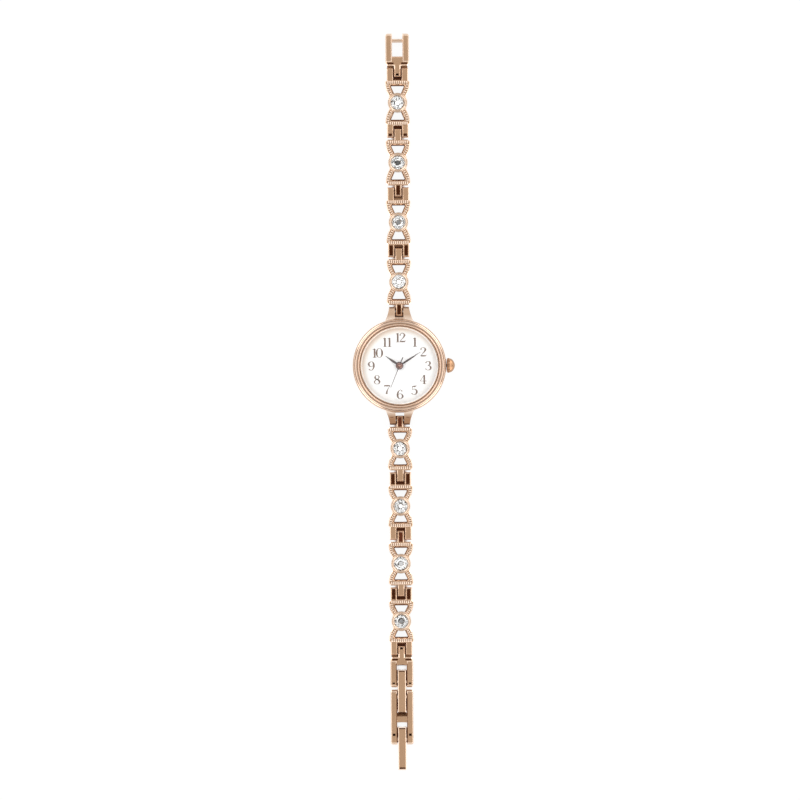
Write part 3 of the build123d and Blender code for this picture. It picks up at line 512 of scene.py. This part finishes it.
for name, hand in handSizes.items():
    body = name + "_hand"
    bottom, top = handSpan(body)
    verts, steps, b = [], leafSizes["steps"], hand["bellyShare"]
    for i in range(steps + 1):
        t = i / steps
        if t < b:
            width = hand["neck"] + (hand["belly"] - hand["neck"]) * math.sin(math.pi / 2 * t / b) ** leafSizes["swell"]
        else:
            width = hand["tip"] + (hand["belly"] - hand["tip"]) * (1 - (t - b) / (1 - b)) ** leafSizes["thin"]
        half, y, edge = width / 2, hand["length"] * t, bottom + leafSizes["edge"]
        verts += [(-half, y, bottom), (half, y, bottom), (half, y, edge), (0, y, top), (-half, y, edge)]
    hub, hole, chamfer = hand["hub"], hand["hole"], leafSizes["chamfer"]
    outer, inner, step = leafSizes["rim"]
    hubVerts, hubFaces = turned(
        [(hole, bottom), (hub - chamfer, bottom), (hub, bottom + chamfer), (hub, top - outer), (hub - outer, top),
         (hub - inner, top), (hub - step, top - chamfer), (hole, top - chamfer)], 64, True)
    faces = joined(0, steps + 1, 5) + [tuple(len(verts) + k for k in f) for f in hubFaces]
    spin = Matrix.Rotation(-math.radians(hand["angle"]), 4, "Z")
    settle(meshPiece(name + "HandLeaf", moved(verts + hubVerts, spin), faces, handLacquer, 25),
           body, (body,))

# the needle's side runs from its tip to its tail; the cap and the ring on the minute hand's hub go with it
secondSizes = {"side": [(-0.06, 5.9), (-0.105, 0.4), (-0.105, -0.4), (-0.13, -2.05), (-0.078, -2.3)], "crest": 0.7,
               "angle": 202.2, "hub": 0.33, "capRise": (0.03, 0.05), "capBow": (-0.06, 8),
               "ringFoot": ((0.5, 4.86), (0.74, 4.86)), "ringBow": ((0.52, 4.95), (0.72, 4.95), 0.06, 8)}
bottom, top = handSpan("second_hand")
plan = secondSizes["side"] + [(-x, y) for x, y in secondSizes["side"][::-1]]
verts = [(x, y, bottom) for x, y in plan] + [(x * secondSizes["crest"], y, top) for x, y in plan]
spin = Matrix.Rotation(-math.radians(secondSizes["angle"]), 4, "Z")
settle(meshPiece("secondHandNeedle", moved(verts, spin), joined(0, 2, len(plan)), handLacquer, 20),
       "second_hand", ("second_hand",))
hub, (foot, crown) = secondSizes["hub"], secondSizes["capRise"]
capOutline = [(0, bottom), (hub, bottom)] + bulgeLine((hub, bottom + foot), (0.0, top + crown), *secondSizes["capBow"])
settle(meshPiece("handCap", *turned(capOutline, 48, False), hubRose, 40), "second_hand")
ringStart, ringEnd = secondSizes["ringFoot"]
hubOutline = [ringStart] + bulgeLine(*secondSizes["ringBow"]) + [ringEnd]
settle(ringPiece("hubRing", hubOutline, 64, hubRose, 40), "minute_hand")
print("hands made")


def newTree(name, inputs):
    # a Geometry Nodes group with one geometry in and out and the named inputs
    tree = bpy.data.node_groups.new(name, "GeometryNodeTree")
    tree.interface.new_socket("Geometry", in_out="INPUT", socket_type="NodeSocketGeometry")
    for label, kind in inputs.items():
        tree.interface.new_socket(label, in_out="INPUT", socket_type="NodeSocket" + kind)
    tree.interface.new_socket("Geometry", in_out="OUTPUT", socket_type="NodeSocketGeometry")
    return tree, addNode(tree, "NodeGroupInput")


def endTree(tree, geometry, finish):
    real = addNode(tree, "GeometryNodeRealizeInstances", {"Geometry": geometry})
    addNode(tree, "NodeGroupOutput", {
        "Geometry": addNode(tree, "GeometryNodeSetMaterial", {"Geometry": real, "Material": finish})})


def smoothBead(tree):
    bead = addNode(tree, "GeometryNodeMeshUVSphere", {"Segments": 8, "Rings": 6, "Radius": 1.0})
    return addNode(tree, "GeometryNodeSetShadeSmooth", {"Geometry": bead})


def grow(name, tree, guide, values):
    # runs the tree on a guide mesh and returns the result as a plain mesh piece
    carrier = addObject(name + "Guide", guide)
    modifier = carrier.modifiers.new("grow", "NODES")
    modifier.node_group = tree
    sockets = {item.name: item.identifier for item in tree.interface.items_tree
               if item.item_type == "SOCKET" and item.in_out == "INPUT"}
    for label, value in values.items():
        modifier[sockets[label]] = value
    graph = bpy.context.evaluated_depsgraph_get()
    mesh = bpy.data.meshes.new_from_object(carrier.evaluated_get(graph), depsgraph=graph)
    mesh.name = name
    carrier.modifiers.remove(modifier)
    bpy.data.objects.remove(carrier)
    bpy.data.meshes.remove(guide)
    return addObject(name, mesh)


# Crown: a domed cap with shallow flutes round its skirt, turned about X
crownSizes = {"outline": ((0.0, 11.78), (1.4, 11.78), (1.56, 11.82), (1.74, 11.95), (1.77, 12.1), (1.78, 12.5),
                          (1.74, 12.62), (1.67, 12.85), (1.53, 13.1), (1.29, 13.35), (1.0, 13.55), (0.68, 13.7),
                          (0.36, 13.8), (0.0, 13.84)),
              "height": 2.8, "radius": 1.84, "flutes": 36, "fluteWidth": 0.07, "fluteLength": 0.3, "fluteAt": 12.22}
verts, faces = turned(crownSizes["outline"], 96, False)
alongX = Matrix.Translation((0, 0, crownSizes["height"])) @ Matrix.Rotation(math.pi / 2, 4, "Y")
settle(meshPiece("crownDome", moved(verts, alongX), faces, roseGoldTumbled, 40), "crown", replaced=("crown",))

fluteTree, start = newTree("crownFlutes", {"Flutes": "Int", "Radius": "Float", "Flute": "Vector", "Place": "Vector",
                                           "Finish": "Material"})
circle = addNode(fluteTree, "GeometryNodeMeshCircle", {
    "Vertices": start.outputs["Flutes"], "Radius": start.outputs["Radius"]})
flutes = addNode(fluteTree, "GeometryNodeInstanceOnPoints", {
    "Points": circle, "Instance": smoothBead(fluteTree), "Scale": start.outputs["Flute"]})
turnedRound = addNode(fluteTree, "GeometryNodeTransform", {
    "Geometry": flutes, "Translation": start.outputs["Place"], "Rotation": (0.0, math.pi / 2, 0.0)})
endTree(fluteTree, turnedRound, start.outputs["Finish"])
wide = crownSizes["fluteWidth"]
settle(grow("crownFlutes", fluteTree, bpy.data.meshes.new("crownGuide"), {
    "Flutes": crownSizes["flutes"], "Radius": (crownSizes["radius"] - wide) * mm,
    "Flute": (wide * mm, wide * mm, crownSizes["fluteLength"] * mm),
    "Place": (crownSizes["fluteAt"] * mm, 0.0, crownSizes["height"] * mm), "Finish": roseGoldTumbled}), "crown")
print("crown made")

# Bracelet: where each link's stone sits along the bracelet, and its half length
linkSizes = {"upperStones": (20.975, 35.925, 50.875, 65.825), "lowerStones": (20.7, 35.1, 49.5, 63.9),
             "upperHalf": 5.725, "lowerHalf": 5.45, "top": 1.6,
             "fillWidth": 1.07, "fillReach": 0.5, "fillBite": 0.03, "fillFoot": 0.3, "fillTop": 0.95}
# a panel's half width, its far and its near end from the link's end, and the height of its floor
panelSizes = {"tongue": (0.46, 2.42, 0.02, 1.42), "prong": (0.45, 2.62, 0.04, 1.43), "foot": 1.38,
              "prongsAt": (-1.875, 1.875), "lightPart": 1.95}
beadSizes = {"barPitch": 0.52, "armPitch": 0.5, "barBead": (0.27, 0.52, 0.28), "armBead": (0.26, 0.44, 0.27),
             "barReach": 2.35, "barInset": 0.62, "sunk": 0.06,
             "armHead": ((2.48, 1.3), (2.33, 2.4)), "armFoot": (1.6, 2.3)}

beadTree, start = newTree("milgrainBeads", {
    "Bar Pitch": "Float", "Arm Pitch": "Float", "Bar Bead": "Vector", "Arm Bead": "Vector", "Finish": "Material"})
isArm = addNode(beadTree, "GeometryNodeInputNamedAttribute", {"Name": "onArm"}, data_type="BOOLEAN")
split = addNode(beadTree, "GeometryNodeSeparateGeometry", {
    "Geometry": start.outputs["Geometry"], "Selection": isArm.outputs["Attribute"]}, domain="POINT")
rounded = smoothBead(beadTree)
both = addNode(beadTree, "GeometryNodeJoinGeometry")
for source, pitch, size in (("Inverted", "Bar Pitch", "Bar Bead"), ("Selection", "Arm Pitch", "Arm Bead")):
    line = addNode(beadTree, "GeometryNodeMeshToCurve", {"Mesh": split.outputs[source]})
    spaced = addNode(beadTree, "GeometryNodeResampleCurve", {
        "Curve": line, "Length": start.outputs[pitch]}, mode="LENGTH")
    along = addNode(beadTree, "FunctionNodeAlignRotationToVector", {
        "Vector": addNode(beadTree, "GeometryNodeInputTangent")}, axis="X", pivot_axis="Z")
    feed(beadTree, both, {"Geometry": addNode(beadTree, "GeometryNodeInstanceOnPoints", {
        "Points": spaced, "Instance": rounded, "Rotation": along, "Scale": start.outputs[size]})})
endTree(beadTree, both, start.outputs["Finish"])


def linkBeads(name, half, place):
    # guide lines: one along each bar, one along each arm
    height = linkSizes["top"] - beadSizes["sunk"]
    points, edges, onArm = [], [], []
    for end in (-1, 1):
        y = end * (half - beadSizes["barInset"])
        edges.append((len(points), len(points) + 1))
        points += [(-beadSizes["barReach"], y, height), (beadSizes["barReach"], y, height)]
        onArm += [False, False]
        for side in (-1, 1):
            first = len(points)
            arm = [(x, half - fromBar) for x, fromBar in beadSizes["armHead"]] + [beadSizes["armFoot"]]
            points += [(side * x, end * y, height) for x, y in arm]
            edges += [(first, first + 1), (first + 1, first + 2)]
            onArm += [True] * 3
    guide = newMesh(name + "Line", moved(points, place), [], edges)
    flag = guide.attributes.new("onArm", "BOOLEAN", "POINT")
    flag.data.foreach_set("value", onArm)
    return grow(name, beadTree, guide, {
        "Bar Pitch": beadSizes["barPitch"] * mm, "Arm Pitch": beadSizes["armPitch"] * mm,
        "Bar Bead": tuple(s * mm for s in beadSizes["barBead"]),
        "Arm Bead": tuple(s * mm for s in beadSizes["armBead"]), "Finish": milgrainGold})


# Stones: round brilliants, glass in front and foiled behind
stoneSizes = {"radius": 1.72, "table": 0.95, "middle": 1.34, "top": 2.35, "girdleTop": 1.65, "girdleFoot": 1.55,
              "culet": 0.55, "culetRadius": 0.58, "pavilionMiddle": 0.98, "spin": 7,
              "tilts": {"upper": ((4.0, 20), (4.5, 250), (3.5, 160), (5.0, 95)),
                        "lower": ((5.0, 305), (4.0, 70), (4.5, 200), (3.5, 340))}}


def brilliant():
    # vertices, faces and each face's side (0 glass, 1 foil) of an eight-fold brilliant
    s = stoneSizes

    def ring(radius, height, turn=0.0, count=8):
        angles = [(k + turn) * 2 * math.pi / count for k in range(count)]
        return [(radius * math.cos(a), radius * math.sin(a), height) for a in angles]

    half = math.cos(math.pi / 8)
    slope = (s["middle"] * half - s["table"]) / (s["radius"] - s["table"])
    middleHeight = s["top"] + (s["girdleTop"] - s["top"]) * slope
    lowerHeight = s["girdleFoot"] + (s["culet"] - s["girdleFoot"]) * (
        (s["radius"] - s["pavilionMiddle"] * half) / (s["radius"] - s["culetRadius"]))
    verts = ring(s["table"], s["top"]) + ring(s["middle"], middleHeight, 0.5)
    verts += ring(s["radius"], s["girdleTop"], count=16) + ring(s["radius"], s["girdleFoot"], count=16)
    verts += ring(s["pavilionMiddle"], lowerHeight, 0.5) + ring(s["culetRadius"], s["culet"])
    table, middle, upper, lower, pavilion, culet = 0, 8, 16, 32, 48, 56
    faces, sides = [tuple(range(8)), tuple(range(culet, culet + 8))], [0, 1]
    for k in range(8):
        n, before = (k + 1) % 8, (k - 1) % 8
        g, gNext, gAfter = (upper + (2 * k + j) % 16 for j in range(3))
        l, lNext, lAfter = (lower + (2 * k + j) % 16 for j in range(3))
        crown = [(table + k, middle + k, table + n), (table + k, middle + before, g, middle + k),
                 (middle + k, g, gNext), (middle + k, gNext, gAfter)]
        back = [(g, l, lNext, gNext), (gNext, lNext, lAfter, gAfter),
                (l, pavilion + k, lNext), (lNext, pavilion + k, lAfter),
                (l, pavilion + before, culet + k, pavilion + k), (pavilion + k, culet + k, culet + n)]
        faces += crown + back
        sides += [0] * len(crown) + [0, 0, 1, 1, 1, 1]
    return verts, faces, sides


def slabPiece(name, slabs, place, material):
    # closed slabs, each of two or more rings of four corners
    verts, faces = [], []
    for slab in slabs:
        faces += joined(len(verts), len(slab) // 4, 4)
        verts += slab
    return meshPiece(name, moved(verts, place), faces, material, 0)


def spread(box, places):
    # the same box at several places along X
    low, high = box
    return [((x + low[0], *low[1:]), (x + high[0], *high[1:])) for x in places]


def inlay(name, boxes, place, material, slant=0.03):
    # thin slabs with slanted sides, each given by its low and high corner
    slabs = [[(x0, y0, z0), (x1, y0, z0), (x1, y1, z0), (x0, y1, z0), (x0 + slant, y0 + slant, z1),
              (x1 - slant, y0 + slant, z1), (x1 - slant, y1 - slant, z1), (x0 + slant, y1 - slant, z1)]
             for (x0, y0, z0), (x1, y1, z1) in boxes]
    return slabPiece(name, slabs, place, material)


# across the window: the lip's inner and outer reach where it leaves the cup, bends and meets the bar,
# the last two measured from the bar's edge along the bracelet
lipSizes = {"foot": 0.3, "top": 1.38, "barWidth": 1.25, "cup": (2.1, 0.76, 1.05),
            "fromBar": ((-0.35, 1.64, 1.95), (-0.02, 1.46, 1.55)), "bar": (1.84, -0.24, 0.05)}


def windowLip(half, end):
    # slabs along the bar and the two slanted sides of one window
    foot, top, head = lipSizes["foot"], lipSizes["top"], half - lipSizes["barWidth"]
    reach, near, far = lipSizes["bar"]
    bar = [(x, end * (head + y), z) for z in (foot, top)
           for x, y in ((-reach, near), (reach, near), (reach, far), (-reach, far))]
    stations = [lipSizes["cup"]] + [(head + y, inner, outer) for y, inner, outer in lipSizes["fromBar"]]
    sides = [[(side * x, end * y, z) for y, inner, outer in stations
              for x, z in ((inner, foot), (outer, foot), (outer, top), (inner, top))] for side in (-1, 1)]
    return {"Bar": [bar], "Side": sides}


cupSizes = {"foot": 1.7, "lip": ((1.75, 1.98), (2.1, 1.95), 0.13, 8), "rim": ((2.14, 1.93), (2.46, 1.72), 0.12, 8),
            "gap": [(1.69, 1.68), (1.79, 1.68), (1.79, 1.74), (1.69, 1.74)]}
lip, rim = cupSizes["lip"], cupSizes["rim"]
cupOutline = [(lip[0][0], cupSizes["foot"])] + bulgeLine(*lip) + bulgeLine(*rim) + [(rim[1][0], cupSizes["foot"])]
stoneVerts, stoneFaces, stoneSides = brilliant()
for side in ("upper", "lower"):
    half = linkSizes[side + "Half"]
    for index, reach in enumerate(linkSizes[side + "Stones"], 1):
        body = f"{side}_link_{index}"
        place = (unmoved if side == "upper" else flip) @ Matrix.Translation((0, reach, 0))
        tag = f"{side}{index}"
        settle(linkBeads(tag + "Milgrain", half, place), body)
        settle(ringPiece(tag + "CupRim", cupOutline, 64, roseGoldPale, 50, place), body)
        # painted shadow: a dark ring fills the gap between stone and lip
        settle(ringPiece(tag + "StoneGap", cupSizes["gap"], 64, paintedHoleShadow, 50, place), body)
        # each stone sits a little askew, so no two glitter alike
        tilt, towards = (math.radians(angle) for angle in stoneSizes["tilts"][side][index - 1])
        seat = Matrix.Translation((0, 0, stoneSizes["girdleFoot"]))
        askew = Matrix.Rotation(tilt, 4, (math.cos(towards), math.sin(towards), 0))
        turn = place @ seat @ askew @ seat.inverted() @ Matrix.Rotation(stoneSizes["spin"] * towards, 4, "Z")
        mesh = newMesh(tag + "Brilliant", moved(stoneVerts, turn), stoneFaces)
        for finish in (stoneGlass, stoneFoil):
            mesh.materials.append(finish)
        mesh.polygons.foreach_set("material_index", stoneSides)
        settle(finishMesh(tag + "Brilliant", mesh, None, 0), body, (f"{side}_stone_{index}",))
        # painted shade on the panels' floors; the last upper link's are shaded at their ends only
        halfWide, deep, short, top = panelSizes["tongue" if index % 2 else "prong"]
        if tag == "upper4":
            short = panelSizes["lightPart"]
        panel = ((-halfWide, -half - deep, panelSizes["foot"]), (halfWide, -half - short, top))
        boxes = spread(panel, (0.0,) if index % 2 else panelSizes["prongsAt"])
        lacquer = roseGoldReddishShade if side == "lower" and index % 2 else roseGoldPaintedShade
        settle(inlay(tag + "PanelFloor", boxes, place, lacquer), body)
        if index % 2 == 0:
            # painted shade: dark slabs close the slots below the tongues' tips
            wide, bite, reachOut = linkSizes["fillWidth"], linkSizes["fillBite"], linkSizes["fillReach"]
            for which, end in (("Near", -1), ("Far", 1)):
                lacquer = roseGoldPaintedShade
                if tag == "upper2":
                    lacquer = paintedShadeBrown if which == "Near" else paintedShadeTan
                y0, y1 = sorted((end * (half - bite), end * (half + reachOut)))
                fill = ((-wide, y0, linkSizes["fillFoot"]), (wide, y1, linkSizes["fillTop"]))
                settle(inlay(tag + "SlotFill" + which, [fill], place, lacquer), body)
        # a low lip runs round inside each window, painted as shade, darkest along the bar
        lips = [windowLip(half, end) for end in (-1, 1)]
        for part, lacquer in (("Bar", paintedShadeBrown), ("Side", paintedShadeTan)):
            slabs = [slab for lip in lips for slab in lip[part]]
            settle(slabPiece(tag + "Lip" + part, slabs, place, lacquer), body)
# the upper lug's slot is closed beyond the tongue; a ledge crosses the prongs of the lower one, painted as a dark
# brown shade line
lugSizes = {"fill": ((-1.07, 11.65, 0.5), (1.07, 12.25, 1.5)), "ledgeAt": (-2.0, 2.0),
            "ledge": ((-0.42, -12.96, 2.3), (0.42, -12.74, 2.46))}
settle(inlay("upperLugFill", [lugSizes["fill"]], unmoved, roseGoldSatin), "case")
settle(inlay("lowerLugLedges", spread(lugSizes["ledge"], lugSizes["ledgeAt"]), unmoved, paintedShadeBrown), "case")
print("links made")

# Clasp: every box is a low and a high corner; where a reach from the middle gives X, they hold Y and Z only
claspSizes = {"end_ring": (75.05, (0.9, 2.5)), "clasp_base": (72.85, (0.9, 2.4)),
              "pocket": ((-0.38, -2.43, 1.33), (0.38, -1.92, 1.38)), "slit": ((0.42, 1.28), (0.83, 1.34)),
              "ledgeReach": (0.9, 2.55), "ledge": ((-0.42, 0.3), (0.03, 0.6)), "dimplesAt": (-2.03, 2.03),
              "baseDimple": ((-0.34, 79.2, 1.6), (0.34, 79.6, 1.735)),
              "extensionDimple": ((-0.36, 91.95, 1.6), (0.36, 92.6, 1.735)),
              "web": (1.2, (86.98, 0.03), (87.68, 1.42)), "webSkin": (-0.03, 0.02)}


def bothSides(reach, low, high):
    # a box between two distances from the middle, on the right and on the left
    inner, outer = reach
    return [((inner, *low), (outer, *high)), ((-outer, *low), (-inner, *high))]


for body, turn in (("end_ring", unmoved), ("clasp_base", flip)):
    startAt, slitReach = claspSizes[body]
    place = turn @ Matrix.Translation((0, startAt, 0))
    # painted shade: a black-brown pocket and dark slits
    settle(inlay(body + "Pocket", [claspSizes["pocket"]], place, paintedHoleShadow), body)
    settle(inlay(body + "Slits", bothSides(slitReach, *claspSizes["slit"]), place, roseGoldPaintedShade), body)
    # a low ledge, painted tan shade, closes the gap towards the last link's prongs
    settle(inlay(body + "Ledge", bothSides(claspSizes["ledgeReach"], *claspSizes["ledge"]), place, paintedShadeTan), body)
# painted shadow darkens the dimples
for name, body, box in (("clasp_baseDimples", "clasp_base", "baseDimple"),
                        ("extensionDimples", "extension_link", "extensionDimple")):
    settle(inlay(name, spread(claspSizes[box], claspSizes["dimplesAt"]), flip, paintedHoleShadow), body)
# the rails are rounded off along their length: reach from the middle, start and end; the ends taper off in steps
railSizes = {"end_ring": (1.34, 2.91, 76.05, 82.8), "clasp_base": (1.26, 2.8, 73.85, 80.1),
             "extension_link": (1.26, 2.78, 81.4, 94.45), "foot": 1.53, "rise": 0.17, "steps": 16, "fullness": 6,
             "taper": ((0.0, 0.3), (0.1, 0.75), (0.3, 1.0)),
             "shadeReach": (-0.02, 0.2), "shadeLow": (0.6, 1.4), "shadeHigh": (-0.12, 1.72)}
for body in ("end_ring", "clasp_base", "extension_link"):
    inner, outer, start, end = railSizes[body]
    steps, taper = railSizes["steps"], railSizes["taper"]
    row = steps + 1
    stations = [(start + inset, share) for inset, share in taper]
    stations += [(end - inset, share) for inset, share in taper[::-1]]
    verts, faces = [], []
    for side in (-1, 1):
        middle, halfWide = side * (inner + outer) / 2, (outer - inner) / 2
        first = len(verts)
        for y, share in stations:
            for k in range(row):
                t = -1 + 2 * k / steps
                bow = math.sqrt(max(0.0, 1 - t ** railSizes["fullness"]))
                verts.append((middle + halfWide * t, y, railSizes["foot"] + railSizes["rise"] * share * bow))
        faces += joined(first, len(stations), row)
    turn = unmoved if body == "end_ring" else flip
    settle(meshPiece(body + "Rails", moved(verts, turn), faces, roseGoldBrushed, 50), body)
    if body != "end_ring":
        # painted shade: brown lines run down the rails' inner edges
        near, far = railSizes["shadeReach"]
        (after, low), (before, high) = railSizes["shadeLow"], railSizes["shadeHigh"]
        shades = bothSides((inner + near, inner + far), (start + after, low), (end + before, high))
        settle(inlay(body + "RailShade", shades, turn, paintedShadeBrown), body)
# the sloping face of the web, in the shadow of the inner lever's tip
(wide, foot, head), (back, rise) = claspSizes["web"], claspSizes["webSkin"]
slope = [(-wide, *foot), (wide, *foot), (wide, *head), (-wide, *head)]
slope += [(x, y + back, z + rise) for x, y, z in slope]
settle(slabPiece("extensionWebShade", [slope], flip, paintedShadeTan), "extension_link")
# painted shade darkens the levers' square ends as seen from above; their boxes start from the pin
leverSizes = {"inner_lever": 79.1, "outer_lever": 93.45, "tail": ((-0.85, -2.88, 1.7), (0.85, -2.58, 1.86)),
              "tip": ((-0.78, 6.95, 1.84), (0.78, 7.37, 1.86))}
for body, ends in (("inner_lever", ("tail",)), ("outer_lever", ("tail", "tip"))):
    place = flip @ Matrix.Translation((0, leverSizes[body], 0))
    settle(inlay(body + "Ends", [leverSizes[end] for end in ends], place, roseGoldPaintedShade), body)
print("clasp made")

# The table lies under the watch; only the bracelet's strip is tested for gaps
tableSizes = {"half": 2000.0, "below": 0.05, "strip": 3.4, "shadeReach": 4.0, "slotAt": -12.05, "slotHalf": 0.45,
              "slotLift": 0.3, "prongs": 1.1, "prongDrop": -0.035, "glow": 1.02, "glowShare": 0.9,
              "gaps": ((0.06, "#32150b"), (0.1, "#5c3320"), (0.13, "#a8764f"), (0.165, "#ffffff"))}
half, below = tableSizes["half"], -tableSizes["below"]
tableMesh = newMesh("tableTop", [(-half, -half, below), (half, -half, below), (half, half, below),
                                 (-half, half, below)], [(0, 1, 2, 3)])
tableTop = addObject("tableTop", tableMesh)
white, tree, bsdf, place = newFinish("table, matt white laminate")
grain = addNode(tree, "ShaderNodeTexNoise", {"Vector": place, "Scale": 500.0, "Detail": 2.0})
tone = addNode(tree, "ShaderNodeMix", {"Factor": grain, 6: "#f4f4f3", 7: "#f7f7f6"}, data_type="RGBA")
feed(tree, bsdf, {"Base Color": tone, "Roughness": 0.7})
path = addNode(tree, "ShaderNodeLightPath")
seen = addNode(tree, "ShaderNodeMath", (path.outputs["Is Camera Ray"], path.outputs["Is Glossy Ray"]),
               operation="MAXIMUM")
seenThrough = addNode(tree, "ShaderNodeMath", (seen, path.outputs["Is Transmission Ray"]), operation="MAXIMUM")
# gaps narrower than about 2 mm let little light down to the table
x, y, z = axesOf(tree)
across = addNode(tree, "ShaderNodeMath", (x,), operation="ABSOLUTE")
under = addNode(tree, "ShaderNodeMath", (across, tableSizes["strip"] * mm), operation="LESS_THAN")
shade = addNode(tree, "ShaderNodeAmbientOcclusion", {"Distance": tableSizes["shadeReach"] * mm}, samples=96)
# the slot in the lower lug is open to the light from the side
lugSlot = addNode(tree, "ShaderNodeMath", (
    y, tableSizes["slotAt"] * mm, tableSizes["slotHalf"] * mm), operation="COMPARE")
lifted = addNode(tree, "ShaderNodeMath", (
    lugSlot, tableSizes["slotLift"], shade.outputs["AO"]), operation="MULTIPLY_ADD")
# the painted gap shade is a little deeper between the prongs
betweenProngs = addNode(tree, "ShaderNodeMath", (across, tableSizes["prongs"] * mm), operation="LESS_THAN")
openness = addNode(tree, "ShaderNodeMath", (betweenProngs, tableSizes["prongDrop"], lifted), operation="MULTIPLY_ADD")
gapTone = addNode(tree, "ShaderNodeValToRGB", {"Fac": openness})
setStops(gapTone, tableSizes["gaps"])
gapGlow, openGlow = (addNode(tree, "ShaderNodeEmission", {"Color": colour, "Strength": tableSizes["glow"]})
                     for colour in (gapTone, "#ffffff"))
glow = addNode(tree, "ShaderNodeMixShader", (under, openGlow, gapGlow))
lit = addNode(tree, "ShaderNodeMixShader", (tableSizes["glowShare"], bsdf, glow))
feed(tree, tree.nodes["Material Output"], {"Surface": addNode(tree, "ShaderNodeMixShader", (seenThrough, bsdf, lit))})
tableMesh.materials.append(white)

# Soft studio: a broad bright band of light all round, a darker band below it and a duller ceiling
lightSizes = {"strength": 2.0, "bands": ((0.0, 1.0), (0.12, 1.0), (0.17, 0.14), (0.42, 0.14), (0.5, 0.65),
                                         (0.62, 1.0), (0.8, 0.8), (0.88, 0.3), (0.93, 0.285), (1.0, 0.275)),
              "sides": 0.44, "right": 0.05, "base": 0.7, "overhead": (0.84, 0.93), "corners": 0.9,
              "cornerEdge": (0.3, 0.4), "patches": 2.6, "patchEdge": (0.41, 0.48), "patchTones": (0.03, 1.75)}
world = bpy.data.worlds.new("studioLight")
scene.world = world
world.use_nodes = True
tree = world.node_tree
x, y, z = axesOf(tree, "Generated")
ramp = addNode(tree, "ShaderNodeValToRGB", {"Fac": z})
setStops(ramp, lightSizes["bands"])
# the two long sides are bright and the ends of the bracelet duller, except overhead
squared = addNode(tree, "ShaderNodeMath", (x, x), operation="MULTIPLY")
level = addNode(tree, "ShaderNodeMath", (z, z), operation="MULTIPLY")
around = addNode(tree, "ShaderNodeMath", (1.001, level), operation="SUBTRACT")
sideways = addNode(tree, "ShaderNodeMath", (squared, around), operation="DIVIDE")
sides = addNode(tree, "ShaderNodeMath", (sideways, lightSizes["sides"], lightSizes["base"]), operation="MULTIPLY_ADD")
overhead = addNode(tree, "ShaderNodeMapRange", (z, *lightSizes["overhead"]))
evened = addNode(tree, "ShaderNodeMix", {"Factor": overhead, 2: sides, 3: 1.0})
right = addNode(tree, "ShaderNodeMath", (x, lightSizes["right"], evened), operation="MULTIPLY_ADD")
banded = addNode(tree, "ShaderNodeMath", (right, ramp), operation="MULTIPLY")
# four low softboxes stand at the corners of the table
diagonal = addNode(tree, "ShaderNodeMath", (x, y), operation="MULTIPLY")
eitherWay = addNode(tree, "ShaderNodeMath", (diagonal,), operation="ABSOLUTE")
corner = addNode(tree, "ShaderNodeMapRange", (eitherWay, *lightSizes["cornerEdge"], 0.0, lightSizes["corners"]))
total = addNode(tree, "ShaderNodeMath", (banded, corner), operation="ADD")
strength = addNode(tree, "ShaderNodeMath", (total, lightSizes["strength"]), operation="MULTIPLY")
studio = tree.nodes["Background"]
feed(tree, studio, {"Color": "#ffffff", "Strength": strength})
clear = addNode(tree, "ShaderNodeBackground", {"Color": "#ffffff", "Strength": 1.0})
path = addNode(tree, "ShaderNodeLightPath")
# through the stones the room shows as white walls with dark patches, which is what makes them glitter
patches = addNode(tree, "ShaderNodeTexNoise", {
    "Vector": addNode(tree, "ShaderNodeTexCoord").outputs["Generated"], "Scale": lightSizes["patches"], "Detail": 1.0})
walls = addNode(tree, "ShaderNodeMapRange", (patches, *lightSizes["patchEdge"], *lightSizes["patchTones"]))
sparkle = addNode(tree, "ShaderNodeBackground", {"Color": "#ffffff", "Strength": walls})
roomMix = addNode(tree, "ShaderNodeMixShader", (path.outputs["Is Transmission Ray"], studio, sparkle))
feed(tree, tree.nodes["World Output"], {
    "Surface": addNode(tree, "ShaderNodeMixShader", (path.outputs["Is Camera Ray"], roomMix, clear))})

# The photograph looks straight down, with the watch turned by a hair
cameraSizes = {"lens": 135.0, "sensor": 36.0, "near": 10.0, "height": 752.0, "aim": (0.061, -8.551), "turn": -0.43}
cameraData = bpy.data.cameras.new("camera")
cameraData.lens = cameraSizes["lens"]
cameraData.sensor_width = cameraSizes["sensor"]
cameraData.clip_start = cameraSizes["near"] * mm
camera = addObject("camera", cameraData)
aimX, aimY = cameraSizes["aim"]
camera.location = (aimX * mm, aimY * mm, cameraSizes["height"] * mm)
camera.rotation_euler = Euler((0.0, 0.0, math.radians(cameraSizes["turn"])))
scene.camera = camera
scene.view_settings.view_transform = "Standard"

print("scene finished")
